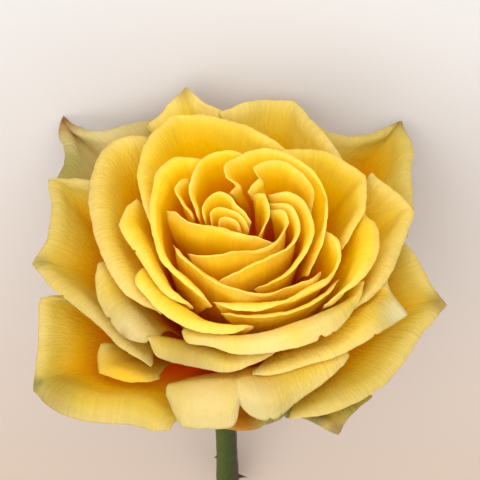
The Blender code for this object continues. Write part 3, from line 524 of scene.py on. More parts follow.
# Stations where a margin comes to a point or a corner instead of a curve, and how sharply.
sharpStations = {
    "heart_petal_4": {3: 1.0}, "inner_petal_1": {5: 0.8}, "inner_petal_4": {5: 0.7, 6: 0.8},
    "inner_petal_5": {9: 0.6, 10: 0.7}, "middle_petal_1": {4: 0.6}, "middle_petal_2": {4: 0.8},
    "middle_petal_3": {2: 0.6}, "middle_petal_6": {6: 0.6}, "outer_petal_1": {4: 0.6},
    "outer_petal_5": {5: 1.0}, "outer_petal_6": {4: 0.8, 5: 0.8}, "outer_petal_7": {1: 0.7, 4: 1.0},
    "outer_petal_8": {3: 1.0}, "guard_petal_1": {2: 0.8, 5: 1.0}, "guard_petal_2": {0: 1.0, 2: 1.0, 4: 1.0},
    "guard_petal_3": {4: 1.0}, "guard_petal_4": {4: 1.0}, "guard_petal_5": {6: 1.0},
    "guard_petal_6": {1: 0.8, 4: 1.0}, "guard_petal_7": {3: 1.0},
}
pointedRows = [0, 0, 0, 0, 0.1, 0.4, 0.8, 1, 1]  # a point in the margin fades out down the wall

# Stations that the margin's finer line moves, by how many millimetres, and the lip's share there.
moved = {
    "heart_petal_4": {4: ((-1.1, 0.1, 0), 1.2)},
    "heart_petal_7": {7: ((1.2, -0.5, -0.8), 0.5)},
    "inner_petal_1": {7: ((-1.0, 0.2, -0.5), 0.7)},
    "inner_petal_2": {0: ((-1.4, -0.6, 0), 0.5), 7: ((-1.0, 0.2, -0.5), 0.7)},
    "inner_petal_3": {0: ((-0.4, -0.2, 0), 0.4), 7: ((-1.0, 0.2, -0.5), 0.7)},
    "inner_petal_4": {0: ((-0.6, -0.4, -0.4), 0.4), 5: ((-1.3, -0.2, 0), 1.2), 6: ((1.2, 0.3, 0), 0.5),
                      7: ((-0.3, -0.8, 0), 1.3)},
    "inner_petal_5": {8: ((-0.5, 0.2, 0), 1.1), 9: ((0.5, 0, 0), 0.8), 10: ((0.5, -0.2, 0), 0.8),
                      11: ((-0.6, 0, 0), 1.2)},
    "inner_petal_8": {8: ((1.5, -0.8, 0), 1.0), 9: ((4.0, -2.4, -0.8), 1.5)},
    "outer_petal_4": {5: ((2.6, -0.8, 1.2), 1.5)},
    "outer_petal_5": {5: ((0.8, 2.0, 0), 1.0)},
    "outer_petal_6": {0: ((-6.5, -3, -0.6), 1.0), 1: ((-2.5, -0.8, 0), 1.0), 5: ((1.4, -0.4, 0), 1.05),
                      6: ((-0.5, 0, 0), 0.7)},
    "outer_petal_7": {3: ((0.7, 0, 0), 1.04), 4: ((-0.5, -0.8, 0), 1.12), 5: ((-1.7, 0, 0), 1.15),
                      6: ((0, 0, 0), 1.06)},
    "guard_petal_5": {9: ((-2.5, 3, 0), 1.0)},
    "guard_petal_7": {0: ((-10, 1.4, 0), 2.0), 1: ((-4.4, -2.2, 0), 1.0), 2: ((-1.3, 1.0, 0), 1.0)},
}
movedRows = [0, 0.03, 0.12, 0.3, 0.55, 0.8, 1, 1, 1]  # share of the move in each row, from the claw up

# Stations where a wall spreads wider below its crest, and by how many millimetres.
flared = {
    "guard_petal_6": {8: (3, 0, 0), 9: (6, 0, 0), 10: (9, 0, 0)},
    "guard_petal_7": {0: (-15, 2, 0), 1: (-9, 1, 0), 2: (-3, 0, 0)},
}
flaredRows = [0, 0.5, 0.9, 1, 0.8, 0.35, 0, 0, 0]  # share of it in each row

# Petals whose lips keep their width to the flanks, which are hardly rounded off.
squareEnds = ("middle_petal_6", "outer_petal_4", "outer_petal_7", "guard_petal_2", "guard_petal_6",
              "guard_petal_7")

# Small tears in a margin: the share of the margin's length, the half width and the depth.
tears = {
    "middle_petal_3": [(0.45, 0.6, 0.7)], "middle_petal_6": [(0.62, 0.9, 1.3), (0.68, 0.6, 0.7)],
    "outer_petal_4": [(0.55, 0.7, 1.0)], "outer_petal_6": [(0.62, 0.5, 0.7)],
    "outer_petal_7": [(0.50, 0.5, 0.8), (0.56, 0.5, 0.7)], "guard_petal_1": [(0.62, 0.5, 0.6)],
    "guard_petal_5": [(0.3, 0.6, 0.7)], "guard_petal_7": [(0.42, 0.8, 0.9), (0.3, 0.5, 0.6)],
}


# A cubic through the points along the first axis, read at places counted in points. The slope
# at each point is shared by the stretches beside it, the shorter one counting more, and where
# sharp is 1 each stretch keeps its own slope.
def cubicThrough(spots, places, sharp):
    gap = np.maximum(np.linalg.norm(np.diff(spots, axis=0), axis=-1, keepdims=True), 0.05)
    slope = np.diff(spots, axis=0) / gap
    shared = (slope[:-1] * gap[1:] + slope[1:] * gap[:-1]) / (gap[:-1] + gap[1:])
    arriving = np.concatenate([slope[:1], shared, slope[-1:]])
    leaving = arriving.copy()
    arriving[1:] += (slope - arriving[1:]) * sharp[1:]
    leaving[:-1] += (slope - leaving[:-1]) * sharp[:-1]
    index = np.minimum(places.astype(int), len(spots) - 2)
    t = (places - index)[..., None]

    def pick(field):
        return np.take_along_axis(field, index[..., None], axis=0)

    return ((2 * t ** 3 - 3 * t ** 2 + 1) * pick(spots)
            + (t ** 3 - 2 * t ** 2 + t) * pick(gap * leaving[:-1])
            + (3 * t ** 2 - 2 * t ** 3) * pick(spots[1:])
            + (t ** 3 - t ** 2) * pick(gap * arriving[1:]))


# Soft waves along a length: a few sines with random phases, each about 1.9 times shorter and
# 1.5 times weaker than the one before.
def waves(along, longest, count, random):
    total = np.zeros_like(along)
    for step in range(count):
        length = longest / 1.9 ** step * random.uniform(0.85, 1.15)
        total += np.sin(2 * math.pi * (along / length + random.random())) / 1.5 ** step
    return total / count


# A settled sheet with its lip narrowed and its stations moved and flared as the tables say.
def shapedSheet(name, sheet):
    wall = len(rowsUp)
    crest = sheet[wall - 1]
    narrowed = lipShare.get(name.split("_")[0], 1)
    sheet = np.concatenate([sheet[:wall], crest + (sheet[wall:] - crest) * narrowed])
    for station, (shift, longer) in moved.get(name, {}).items():
        sheet[wall:, station] += (sheet[wall:, station] - crest[station]) * (longer - 1)
        sheet[:, station] += np.array(movedRows)[:, None] * shift
    for station, shift in flared.get(name, {}).items():
        sheet[:, station] += np.array(flaredRows)[:, None] * shift
    return sheet


# Places along a crest counted in stations, in even steps of about the wanted spacing.
def finePlaces(crest):
    places = [0.0]
    for station, length in enumerate(np.linalg.norm(np.diff(crest, axis=0), axis=1)):
        count = max(petalLook["fewest"], int(round(length / petalLook["across"])))
        places += list(station + np.arange(1, count + 1) / count)
    return np.array(places)


# 0 in the middle of a margin, rising evenly to 1 over the given share of it at each flank.
def nearFlanks(along, share):
    across = np.abs(along / along[-1] * 2 - 1)
    return np.clip((across - 1 + 2 * share) / (2 * share), 0, 1)


# A petal's middle surface drawn finely, with its distance from the margin and along the crest.
# Cubics run through the stations and then up through the rows. The margin is drawn in and out
# by waves and tears that fade down the blade, and slower waves lift the blade along its normals.
def finePetal(name, sheet, random):
    look = petalLook
    crestRow = len(rowsUp) - 1
    rows, columns = sheet.shape[:2]
    places = finePlaces(sheet[crestRow])
    sharp = np.zeros((columns, rows, 1))
    for station, amount in sharpStations.get(name, {}).items():
        sharp[station, :, 0] = np.array(pointedRows) * amount
    sheet = shapedSheet(name, sheet)
    wide = cubicThrough(sheet.transpose(1, 0, 2), np.repeat(places[:, None], rows, axis=1), sharp)
    wide = wide.transpose(1, 0, 2)

    low, high = look["wallSteps"]
    up = np.concatenate([np.linspace(0, crestRow - 2, low + 1)[:-1],
                         np.linspace(crestRow - 2, crestRow, high + 1)[:-1],
                         np.linspace(crestRow, rows - 1, look["lipSteps"] + 1)])
    along = np.concatenate([[0], np.cumsum(np.linalg.norm(np.diff(wide[crestRow], axis=0), axis=1))])
    square = name in squareEnds
    endDrop = look["squareDrop"] if square else look["endDrop"]
    drop = 1 - endDrop * nearFlanks(along, look["endShare"]) ** look["endCurve"]
    if not square:
        narrow = 1 - look["taper"] * nearFlanks(along, look["taperShare"]) ** look["taperCurve"]
        wide[crestRow + 1:] = wide[crestRow] + (wide[crestRow + 1:] - wide[crestRow]) * narrow[:, None]
    fine = cubicThrough(wide, up[:, None] * drop[None, :], np.zeros((rows, len(places), 1)))

    fromMargin = np.linalg.norm(np.diff(fine, axis=0), axis=2)[::-1].cumsum(axis=0)[::-1]
    fromMargin = np.vstack([fromMargin, np.zeros(len(places))])
    beyond = fine[-1] - fine[-4]
    beyond = beyond / np.maximum(np.linalg.norm(beyond, axis=1, keepdims=True), 1e-6)
    nick = waves(along, look["nickLength"], 5, random) * look["nickDepth"]
    nick = nick * min(1, along[-1] / look["nickMargin"])
    for share, half, deep in tears.get(name, []):
        nick = nick - deep * np.maximum(0, 1 - np.abs(along - share * along[-1]) / half)
    reach = np.exp(-(fromMargin / look["nickReach"]) ** 2)
    fine = fine + beyond[None] * nick[None, :, None] * reach[..., None]
    wave = waves(along, look["waveLength"], 3, random) * look["waveHeight"]
    lengths, slants = look["bulgeLengths"], look["bulgeSlants"]
    bulge = waves(along[None, :] + slants[0] * fromMargin, lengths[0], 3, random) * look["bulgeHeight"]
    upward = waves(fromMargin + slants[1] * along[None, :], lengths[1], 2, random)
    bulge = bulge + upward * look["bulgeHeight"]
    lift = wave[None, :] * np.exp(-fromMargin / look["waveReach"])
    lift = lift + bulge * np.exp(-fromMargin / look["bulgeReach"])
    fine = fine + sheetNormals(fine) * lift[..., None]
    return fine, fromMargin, np.repeat(along[None, :], len(fine), axis=0)


# A blade's thickness, which grows with the root of the distance from the edge until it is full.
def thinned(look, distance):
    taper = np.clip(distance / look["marginTaper"], 0, 1) ** 0.5
    return look["marginThickness"] + (look["thickness"] - look["marginThickness"]) * taper


# Points of the upright bloom in millimetres, laid down in the part's own frame in metres.
def laidDown(spots):
    return spots @ lieTurn.T * mm + lieShift


# An object of the scene, at the origin, that shows a mesh, a lamp or a camera.
def linkedObject(name, data):
    piece = bpy.data.objects.new(name, data)
    bpy.context.scene.collection.objects.link(piece)
    return piece


# A closed blade round a middle surface: each face stands off by half the thickness there, and a
# strip of quads closes the rim. Both faces carry the map (along, fromMargin) in decimetres, and
# the outer one, which is paler, takes only a share of the distance from the margin.
def bladeObject(name, sheet, thickness, fromMargin, along, colours, outerShare=1):
    rows, columns = sheet.shape[:2]
    offset = sheetNormals(sheet) * (thickness / 2)[..., None]
    both = np.concatenate([(sheet + offset).reshape(-1, 3), (sheet - offset).reshape(-1, 3)])
    count = rows * columns
    index = np.arange(count).reshape(rows, columns)
    corner = index[:-1, :-1].ravel()
    front = np.stack([corner, corner + 1, corner + columns + 1, corner + columns], axis=1)
    back = front[:, ::-1] + count
    rim = np.concatenate([index[0, :-1], index[:-1, -1], index[-1, :0:-1], index[:0:-1, 0]])
    after = np.roll(rim, -1)
    side = np.stack([after, rim, rim + count, after + count], axis=1)
    faces = np.concatenate([front, back, side])
    mesh = bpy.data.meshes.new(name)
    mesh.vertices.add(len(both))
    mesh.vertices.foreach_set("co", laidDown(both).astype(np.float32).ravel())
    mesh.loops.add(faces.size)
    mesh.loops.foreach_set("vertex_index", faces.astype(np.int32).ravel())
    mesh.polygons.add(len(faces))
    mesh.polygons.foreach_set("loop_start", np.arange(0, faces.size, 4, dtype=np.int32))
    mesh.update(calc_edges=True)
    mesh.polygons.foreach_set("use_smooth", np.ones(len(faces), bool))
    spread = np.concatenate([np.stack([along.ravel(), fromMargin.ravel() * share], axis=1)
                             for share in (outerShare, 1)]) / 100
    layer = mesh.uv_layers.new(name="petalMap")
    layer.data.foreach_set("uv", spread[faces.ravel()].astype(np.float32).ravel())
    if colours is not None:
        # marks on the petal: stains, and painted light and shade
        stain = mesh.attributes.new("stain", "FLOAT_COLOR", "POINT")
        stain.data.foreach_set("color", np.concatenate([colours, colours]).astype(np.float32).ravel())
    return linkedObject(name, mesh)


# An sRGB hex colour as the linear numbers that a shader takes.
def linear(colour):
    parts = np.array([int(colour[at:at + 2], 16) for at in (1, 3, 5)]) / 255
    return np.where(parts <= 0.04045, parts / 12.92, ((parts + 0.055) / 1.055) ** 2.4)


# Stains and painted light and shade on single petals: the place in the upright bloom, the radius, the
# colour and its strength.
stainsAndPaintedLight = {
    "middle_petal_6": [((-6, -33, 3), 9.0, "#FAEBB0", 0.6), ((8, -34, 4), 10.0, "#FAEBB0", 0.8),
                       ((22, -28, 4), 10.0, "#FAEBB0", 0.7)],
    # outer_petal_3: the tan mark is painted shade under the petals above
    "outer_petal_3": [((-12, -31, 2), 8.0, "#C89C40", 0.5)],
    "outer_petal_4": [((-26, -24, -2), 8.0, "#F6E8B4", 0.7), ((-28.8, -25.4, -2), 0.9, "#9A5A20", 0.6)],
    "outer_petal_6": [((42, -19, -2), 5.0, "#E9E2B8", 0.9)],
    "outer_petal_7": [((-9, -46, -8), 15.0, "#F2E6A8", 0.75), ((4, -44, -6), 10.0, "#EAE0B8", 0.7)],
    "outer_petal_8": [((-14, 50, 3), 2.5, "#B07A30", 0.4)],
    "guard_petal_1": [((-51, 0, -6), 2.0, "#A8A050", 0.5)],
    "guard_petal_2": [((-28, -34, -9), 12.0, "#FAD838", 0.9)],
    # guard_petal_3: the large pale mark is painted light on a face that lies in shade, and the olive mark
    # is painted shade
    "guard_petal_3": [((-40, 40, -8), 20.0, "#F2E6B4", 0.8), ((-47, 33, -9), 6.0, "#8E8A38", 0.75),
                      ((-47, 51, -11.5), 4.0, "#A04A30", 0.8)],
    "guard_petal_4": [((45, 50, -11), 3.0, "#9A6A38", 0.6)],
    "guard_petal_5": [((53, -10, -10), 2.5, "#A8803C", 0.6)],
    "guard_petal_6": [((-46, -36, -12), 6.0, "#B8984C", 0.45), ((-50.5, -33, -13), 2.0, "#76844A", 0.7)],
    "guard_petal_7": [((2, -43, -16), 7.0, "#D08A08", 0.9), ((9, -43, -16), 3.0, "#8C7A30", 0.7),
                      ((14, -40, -16), 5.0, "#8E9268", 0.9), ((21, -41, -15), 4.0, "#5C6C20", 0.9),
                      ((22, -38, -14), 3.0, "#A87860", 0.7), ((26, -45, -16), 3.0, "#B08878", 0.9),
                      ((31, -38, -14), 7.0, "#A89A38", 0.8)],
}
markSquash = (1, 1, 0.3)  # a mark reaches further up and down than sideways


# The colours of a petal's stains and painted light and shade, with their strength as alpha. A mark's
# strength falls from its place outward as a bell curve, and a later mark covers an earlier one by
# the root of its own.
def stainAndPaintedLightColours(name, sheet):
    colours = np.zeros((*sheet.shape[:2], 4))
    for place, radius, colour, strength in stainsAndPaintedLight.get(name, []):
        distance = np.linalg.norm((sheet - np.array(place)) * markSquash, axis=2)
        near = np.exp(-(distance / radius) ** 2) * strength
        colours[..., :3] += (linear(colour) - colours[..., :3]) * near[..., None] ** 0.5
        colours[..., 3] = np.maximum(colours[..., 3], near)
    return colours


# A material that starts from the standard shader: the material, its tree and that shader.
def startMaterial(name, roughness, specular):
    material = bpy.data.materials.new(name)
    material.use_nodes = True
    shader = material.node_tree.nodes["Principled BSDF"]
    shader.inputs["Roughness"].default_value = roughness
    shader.inputs["Specular IOR Level"].default_value = specular
    return material, material.node_tree, shader


# A node with its settings and its inputs: a number or colour is set, and a socket is linked. The
# setting "stops" fills a colour ramp, each stop a position with a hex colour or a grey.
def addNode(tree, kind, settings=None, inputs=None):
    node = tree.nodes.new(kind)
    for key, value in (settings or {}).items():
        if key != "stops":
            setattr(node, key, value)
            continue
        elements = node.color_ramp.elements
        while len(elements) < len(value):
            elements.new(0.5)
        for element, (position, colour) in zip(elements, value):
            element.position = position
            element.color = (*(linear(colour) if isinstance(colour, str) else [colour] * 3), 1)
    for key, value in (inputs or {}).items():
        if isinstance(value, bpy.types.NodeSocket):
            tree.links.new(value, node.inputs[key])
        else:
            node.inputs[key].default_value = value
    return node


# Rose petal: a thin living blade, soft and matt, that lets warm light through. Yellow pigment
# lies thinly at the margin and thickly, nearly orange, towards the claw. The deep orange and
# red-orange further down the blade are also painted shade for the crevices between the petals.
petalPigmentAndCreviceShade = {
    # distance from the margin in decimetres and the colour there: pigment, deepened towards the claw by
    # painted crevice shade
    "heart": ((0, "#FBE880"), (0.018, "#F9E034"), (0.05, "#F9DA00"), (0.10, "#F9C600"), (0.22, "#F78A00"),
              (0.40, "#E85000")),
    "inner": ((0, "#FAE67C"), (0.022, "#F9E03A"), (0.06, "#F9DA00"), (0.12, "#F9C600"), (0.25, "#F78800"),
              (0.42, "#E85000")),
    "middle": ((0, "#F8E884"), (0.03, "#F6E04C"), (0.09, "#F6D600"), (0.17, "#F6BE00"), (0.29, "#F68400"),
               (0.46, "#E44600")),
    "outer": ((0, "#F1E294"), (0.05, "#EFD85A"), (0.12, "#F1CA10"), (0.20, "#F2B200"), (0.34, "#F27C00"),
              (0.52, "#E04400")),
    "guard": ((0, "#E4D48A"), (0.05, "#DEC756"), (0.12, "#E4B81C"), (0.20, "#E8A000"), (0.34, "#EA7600"),
              (0.50, "#DC4800")),
}
petalFinish = {
    "roughness": 0.55,
    "specular": 0.03,
    "through": 0.60,        # share of the light that passes through the blade
    "blotches": 90.0,       # uneven pigment, in patches of about 11 mm: this many to a metre
    "drift": 0.04,          # how far a blotch moves the colour up or down the blade, in decimetres
    "veinSpacing": 0.36,    # millimetres between the fine veins that fan out to the margin
    "veinRun": 6.0,         # how often a vein changes in a decimetre of its length
    "veinShade": (0.93, 1.05),  # how dark and how light they make the colour
    "veinFade": ((0.0, 1.0), (0.06, 0.5), (0.15, 0.1)),  # how far the veins show, by the distance
    "dents": (110.0, 45.0, 1.0),  # crepe, in dents of about 0.9 by 2.2 mm: so many to a decimetre
    "dentShare": 1.2,
    "bump": {"heart": 0.10, "inner": 0.14, "middle": 0.26, "outer": 0.36, "guard": 0.38},
}


# The colour goes by the distance from the margin, with painted crevice shade towards the claw,
# shifted by the blotches, shaded by the veins and covered by the stains and the painted light and
# shade on single petals. Veins and crepe add up to the relief.
def petalMaterial(group):
    look = petalFinish
    material, tree, shader = startMaterial(group + "_petal", look["roughness"], look["specular"])
    place = addNode(tree, "ShaderNodeUVMap", {"uv_map": "petalMap"}).outputs["UV"]
    fromMargin = addNode(tree, "ShaderNodeSeparateXYZ", {}, {"Vector": place}).outputs["Y"]
    solid = addNode(tree, "ShaderNodeTexCoord").outputs["Object"]
    blotch = addNode(tree, "ShaderNodeTexNoise", {},
                     {"Vector": solid, "Scale": look["blotches"], "Detail": 3.0}).outputs["Fac"]
    drift = addNode(tree, "ShaderNodeMath", {"operation": "MULTIPLY_ADD"},
                    {0: blotch, 1: look["drift"], 2: -look["drift"] / 2})
    depth = addNode(tree, "ShaderNodeMath", {"operation": "ADD", "use_clamp": True},
                    {0: fromMargin, 1: drift.outputs[0]})
    # pigment by the distance from the margin, with painted crevice shade towards the claw
    tone = addNode(tree, "ShaderNodeValToRGB", {"stops": petalPigmentAndCreviceShade[group]}, {"Fac": depth.outputs[0]})
    # veins: noise stretched along the petal, with one light and one dark vein in each of its units
    stretched = addNode(tree, "ShaderNodeVectorMath", {"operation": "MULTIPLY"},
                        {0: place, 1: (100 / look["veinSpacing"] / 2, look["veinRun"], 1.0)})
    veins = addNode(tree, "ShaderNodeTexNoise", {}, {"Vector": stretched.outputs[0], "Scale": 1.0,
                                                     "Detail": 3.0, "Roughness": 0.6}).outputs["Fac"]
    fade = addNode(tree, "ShaderNodeValToRGB", {"stops": look["veinFade"]}, {"Fac": fromMargin})
    dark, light = look["veinShade"]
    shade = addNode(tree, "ShaderNodeMapRange", {}, {"Value": veins, "From Min": 0.3, "From Max": 0.7,
                                                     "To Min": dark, "To Max": light})
    veined = addNode(tree, "ShaderNodeMix", {"data_type": "RGBA", "blend_type": "MULTIPLY"},
                     {"Factor": fade.outputs["Color"], "A": tone.outputs["Color"],
                      "B": shade.outputs["Result"]})
    # stains, and painted light and shade, on single petals
    stain = addNode(tree, "ShaderNodeAttribute", {"attribute_name": "stain"})
    colour = addNode(tree, "ShaderNodeMix", {"data_type": "RGBA"},
                     {"Factor": stain.outputs["Alpha"], "A": veined.outputs["Result"],
                      "B": stain.outputs["Color"]}).outputs["Result"]
    # crepe: small uneven dents between the veins
    dented = addNode(tree, "ShaderNodeVectorMath", {"operation": "MULTIPLY"}, {0: place, 1: look["dents"]})
    crepe = addNode(tree, "ShaderNodeTexNoise", {}, {"Vector": dented.outputs[0], "Scale": 1.0,
                                                     "Detail": 2.0, "Roughness": 0.5}).outputs["Fac"]
    relief = addNode(tree, "ShaderNodeMath", {"operation": "MULTIPLY_ADD"},
                     {0: crepe, 1: look["dentShare"], 2: veins})
    bump = addNode(tree, "ShaderNodeBump", {}, {"Height": relief.outputs[0], "Strength": 0.8,
                                                "Distance": look["bump"][group] * mm}).outputs["Normal"]
    tree.links.new(colour, shader.inputs["Base Color"])
    tree.links.new(bump, shader.inputs["Normal"])
    glow = addNode(tree, "ShaderNodeBsdfTranslucent", {}, {"Color": colour, "Normal": bump})
    blend = addNode(tree, "ShaderNodeMixShader", {}, {0: look["through"], 1: shader.outputs["BSDF"],
                                                      2: glow.outputs["BSDF"]})
    tree.links.new(blend.outputs[0], tree.nodes["Material Output"].inputs["Surface"])
    return material


# Each petal's blade, thinned by the distance from the margin or from the nearer flank, whichever
# is less, in its group's material.
def buildPetals(sheets):
    look = petalLook
    materials = {group: petalMaterial(group) for group in petalPigmentAndCreviceShade}
    total = 0
    for number, (spec, sheet) in enumerate(zip(petals, sheets)):
        name, group = spec[:2]
        random = np.random.default_rng(look["seed"] + number)
        fine, fromMargin, along = finePetal(name, sheet, random)
        flank = np.minimum(along, along[0, -1] - along)
        thickness = thinned(look, np.minimum(fromMargin, flank))
        colours = stainAndPaintedLightColours(name, fine)
        piece = bladeObject(name + "_blade", fine, thickness, fromMargin, along, colours,
                            look["outerShare"])
        piece.data.materials.append(materials[group])
        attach(piece, "root")
        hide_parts(name)
        total += 2 * len(piece.data.polygons)
    print("petals:", len(petals), "blades,", total, "triangles")


# The stem with its hip and prickles. Lengths in millimetres.
stemLook = {
    # height, radius and bend of each ring, as in the part
    "rings": [
        (-124, 3.4, -2.3), (-116, 3.3, -2.4), (-104, 3.0, -2.5), (-92, 3.0, -2.7), (-80, 3.0, -2.5),
        (-70, 3.1, -1.6), (-61, 3.2, -0.5), (-55, 3.7, 0), (-51.6, 5.2, 0), (-48, 7.4, 0), (-44.8, 9.0, 0),
        (-42, 9.9, 0), (-40, 10.3, 0),
    ],
    "seed": 7,
    "around": 72,
    "upSpacing": 0.8,
    "evenedTurns": 3,       # how often the outline is evened out
    "ridges": 9,
    "ridgeHeight": 0.07,    # faint ribs along the stem
    "ridgeLength": 30.0,    # the ribs wander over this length
    "lumpHeight": 0.10,
    "lumpLengths": (14.0, 9.0),
    "domeRings": 14,
    # prickles: height, turn about the stem in degrees from +x, length, half height at the foot, drop
    "prickles": [(-118, 8, 2.8, 1.5, -1.6), (-106, 180, 0.9, 1.3, -0.3)],
    "prickleGrid": (8, 14),  # rings, and points round each
    "prickleSunk": 0.6,     # how deep the foot stands in the stem
    "prickleWidth": 0.45,   # half width, as a share of the half height
    "prickleCurve": 1.4,    # power by which it shrinks
    "prickleTip": 0.02,     # what is left of its size at the point
    # heights and lengths over which the dome turns to the claws' colour, and the stem to tan
    "seat": (-38.0, 3.0),
    "tan": (-52.0, 8.0),
    "hipTan": 0.3,
    "stemTan": 0.32,        # so much more on the stem, and for each millimetre to the right
    "rightTan": 0.15,
    "roughness": 0.5,
    "specular": 0.2,
    "stripes": 900.0,       # bark stripes, about 1 mm wide and 11 mm long: this many to a metre
    "stripeRun": 0.10,      # their width over their length
    "stripeShare": 0.5,     # how far they move the tone
    "tones": ((0.05, "#3C4A08"), (0.3, "#2E3C00"), (0.6, "#263200"), (0.75, "#38280E"), (1.0, "#44281A")),
    "seatTone": "#D85000",
    "bump": 0.15,
}


# Quads between the rings of a closed tube, and one face across each of its ends.
def tubeFaces(rings, around, first=0):
    corner = first + np.arange(rings * around).reshape(rings, around)
    after = np.roll(corner, -1, axis=1)
    quads = np.stack([corner[:-1], after[:-1], after[1:], corner[1:]], axis=2)
    return [*quads.reshape(-1, 4).tolist(), corner[0, ::-1].tolist(), corner[-1].tolist()]


# The stem's rings: circles round the bend, widened by ribs and lumps that wander up the stem, and
# on top of them the rings of the hip's dome, out to its crown.
def stemRings():
    look = stemLook
    heights, radii, bends = np.array(look["rings"], float).T
    levels = np.linspace(heights[0], heights[-1], int((heights[-1] - heights[0]) / look["upSpacing"]))
    random = np.random.default_rng(look["seed"])
    angle = np.linspace(0, 2 * math.pi, look["around"], endpoint=False)
    radius = np.interp(levels, heights, radii)
    for turn in range(look["evenedTurns"]):
        radius[1:-1] = (radius[:-2] + 2 * radius[1:-1] + radius[2:]) / 4
    long, short = look["lumpLengths"]
    lump = (waves(levels, long, 3, random)[:, None] * np.cos(angle - 0.6)
            + waves(levels, short, 2, random)[:, None] * np.sin(2 * angle))
    rib = np.sin(look["ridges"] * angle + 0.5 * waves(levels, look["ridgeLength"], 2, random)[:, None])
    wide = radius[:, None] + look["ridgeHeight"] * rib + look["lumpHeight"] * lump
    dome = np.array([domeSpot(1 - step / look["domeRings"]) for step in range(1, look["domeRings"] + 1)])
    wide = np.concatenate([wide, np.repeat(dome[:, :1], len(angle), axis=1)])
    bend = np.concatenate([np.interp(levels, heights, bends), np.zeros(len(dome))])
    levels = np.concatenate([levels, dome[:, 1]])
    return np.stack([bend[:, None] + wide * np.cos(angle), wide * np.sin(angle),
                     np.repeat(levels[:, None], len(angle), axis=1)], axis=2)


# A prickle's rings: upright ovals that shrink by a power of what is left of its length, from a
# foot inside the stem out to a point that drops with the square of the way out.
def prickleRings(height, turn, length, half, drop):
    look = stemLook
    heights, radii, bends = np.array(look["rings"], float).T
    radius = np.interp(height, heights, radii)
    middle = np.array([np.interp(height, heights, bends), 0, height])
    turn = math.radians(turn)
    out = np.array([math.cos(turn), math.sin(turn), 0])
    aside = np.array([-math.sin(turn), math.cos(turn), 0])
    up = np.array([0, 0, 1])
    rows, around = look["prickleGrid"]
    share = np.linspace(0, 1, rows)[:, None, None]
    angle = np.linspace(0, 2 * math.pi, around, endpoint=False)[None, :, None]
    sunk = look["prickleSunk"]
    centre = middle + up * drop * share ** 2 + out * (radius - sunk + (length + sunk) * share)
    size = half * np.maximum((1 - share) ** look["prickleCurve"], look["prickleTip"])
    return centre + (aside * look["prickleWidth"] * np.cos(angle) + up * np.sin(angle)) * size


# The stem, hip and prickles as one mesh. Its points keep how far they belong to the seat of the
# claws, and how tan they are, which grows to the right and stays low on the hip.
def buildStem():
    look = stemLook
    spots = np.zeros((0, 3))
    faces = []
    for rings in [stemRings()] + [prickleRings(*prickle) for prickle in look["prickles"]]:
        faces += tubeFaces(*rings.shape[:2], len(spots))
        spots = np.concatenate([spots, rings.reshape(-1, 3)])
    mesh = bpy.data.meshes.new("stem_and_hip_skin")
    mesh.from_pydata(laidDown(spots).tolist(), [], faces)
    mesh.polygons.foreach_set("use_smooth", np.ones(len(faces), bool))
    height = spots[:, 2]
    right = laidDown(spots)[:, 0] / mm
    seatFrom, seatOver = look["seat"]
    tanFrom, tanOver = look["tan"]
    lowDown = np.clip((tanFrom - height) / tanOver, 0, 1)
    shades = {"seat": np.clip((height - seatFrom) / seatOver, 0, 1),
              "tan": look["hipTan"] + (right * look["rightTan"] + look["stemTan"]) * lowDown}
    for kind, values in shades.items():
        mesh.attributes.new(kind, "FLOAT", "POINT").data.foreach_set("value", values.astype(np.float32))
    print("stem:", len(faces), "faces")
    return linkedObject("stem_and_hip_skin", mesh)


# Rose stem: waxy green bark with faint long stripes, browner on the side that had the sun.
# The hip's top, which the petals stand on, is deep orange like their claws.
def stemMaterial():
    look = stemLook
    material, tree, shader = startMaterial("waxy_stem", look["roughness"], look["specular"])
    solid = addNode(tree, "ShaderNodeTexCoord").outputs["Object"]
    long = addNode(tree, "ShaderNodeVectorMath", {"operation": "MULTIPLY"},
                   {0: solid, 1: (1.0, look["stripeRun"], 1.0)})
    stripes = addNode(tree, "ShaderNodeTexNoise", {}, {"Vector": long.outputs[0], "Scale": look["stripes"],
                                                       "Detail": 3.0}).outputs["Fac"]
    tan = addNode(tree, "ShaderNodeAttribute", {"attribute_name": "tan"}).outputs["Fac"]
    place = addNode(tree, "ShaderNodeMath", {"operation": "MULTIPLY_ADD"},
                    {0: stripes, 1: look["stripeShare"], 2: tan})
    bark = addNode(tree, "ShaderNodeValToRGB", {"stops": look["tones"]}, {"Fac": place.outputs[0]})
    seat = addNode(tree, "ShaderNodeAttribute", {"attribute_name": "seat"}).outputs["Fac"]
    tone = addNode(tree, "ShaderNodeMix", {"data_type": "RGBA"},
                   {"Factor": seat, "A": bark.outputs["Color"], "B": (*linear(look["seatTone"]), 1)})
    bump = addNode(tree, "ShaderNodeBump", {}, {"Height": stripes, "Strength": 0.6,
                                                "Distance": look["bump"] * mm})
    tree.links.new(tone.outputs["Result"], shader.inputs["Base Color"])
    tree.links.new(bump.outputs["Normal"], shader.inputs["Normal"])
    return material


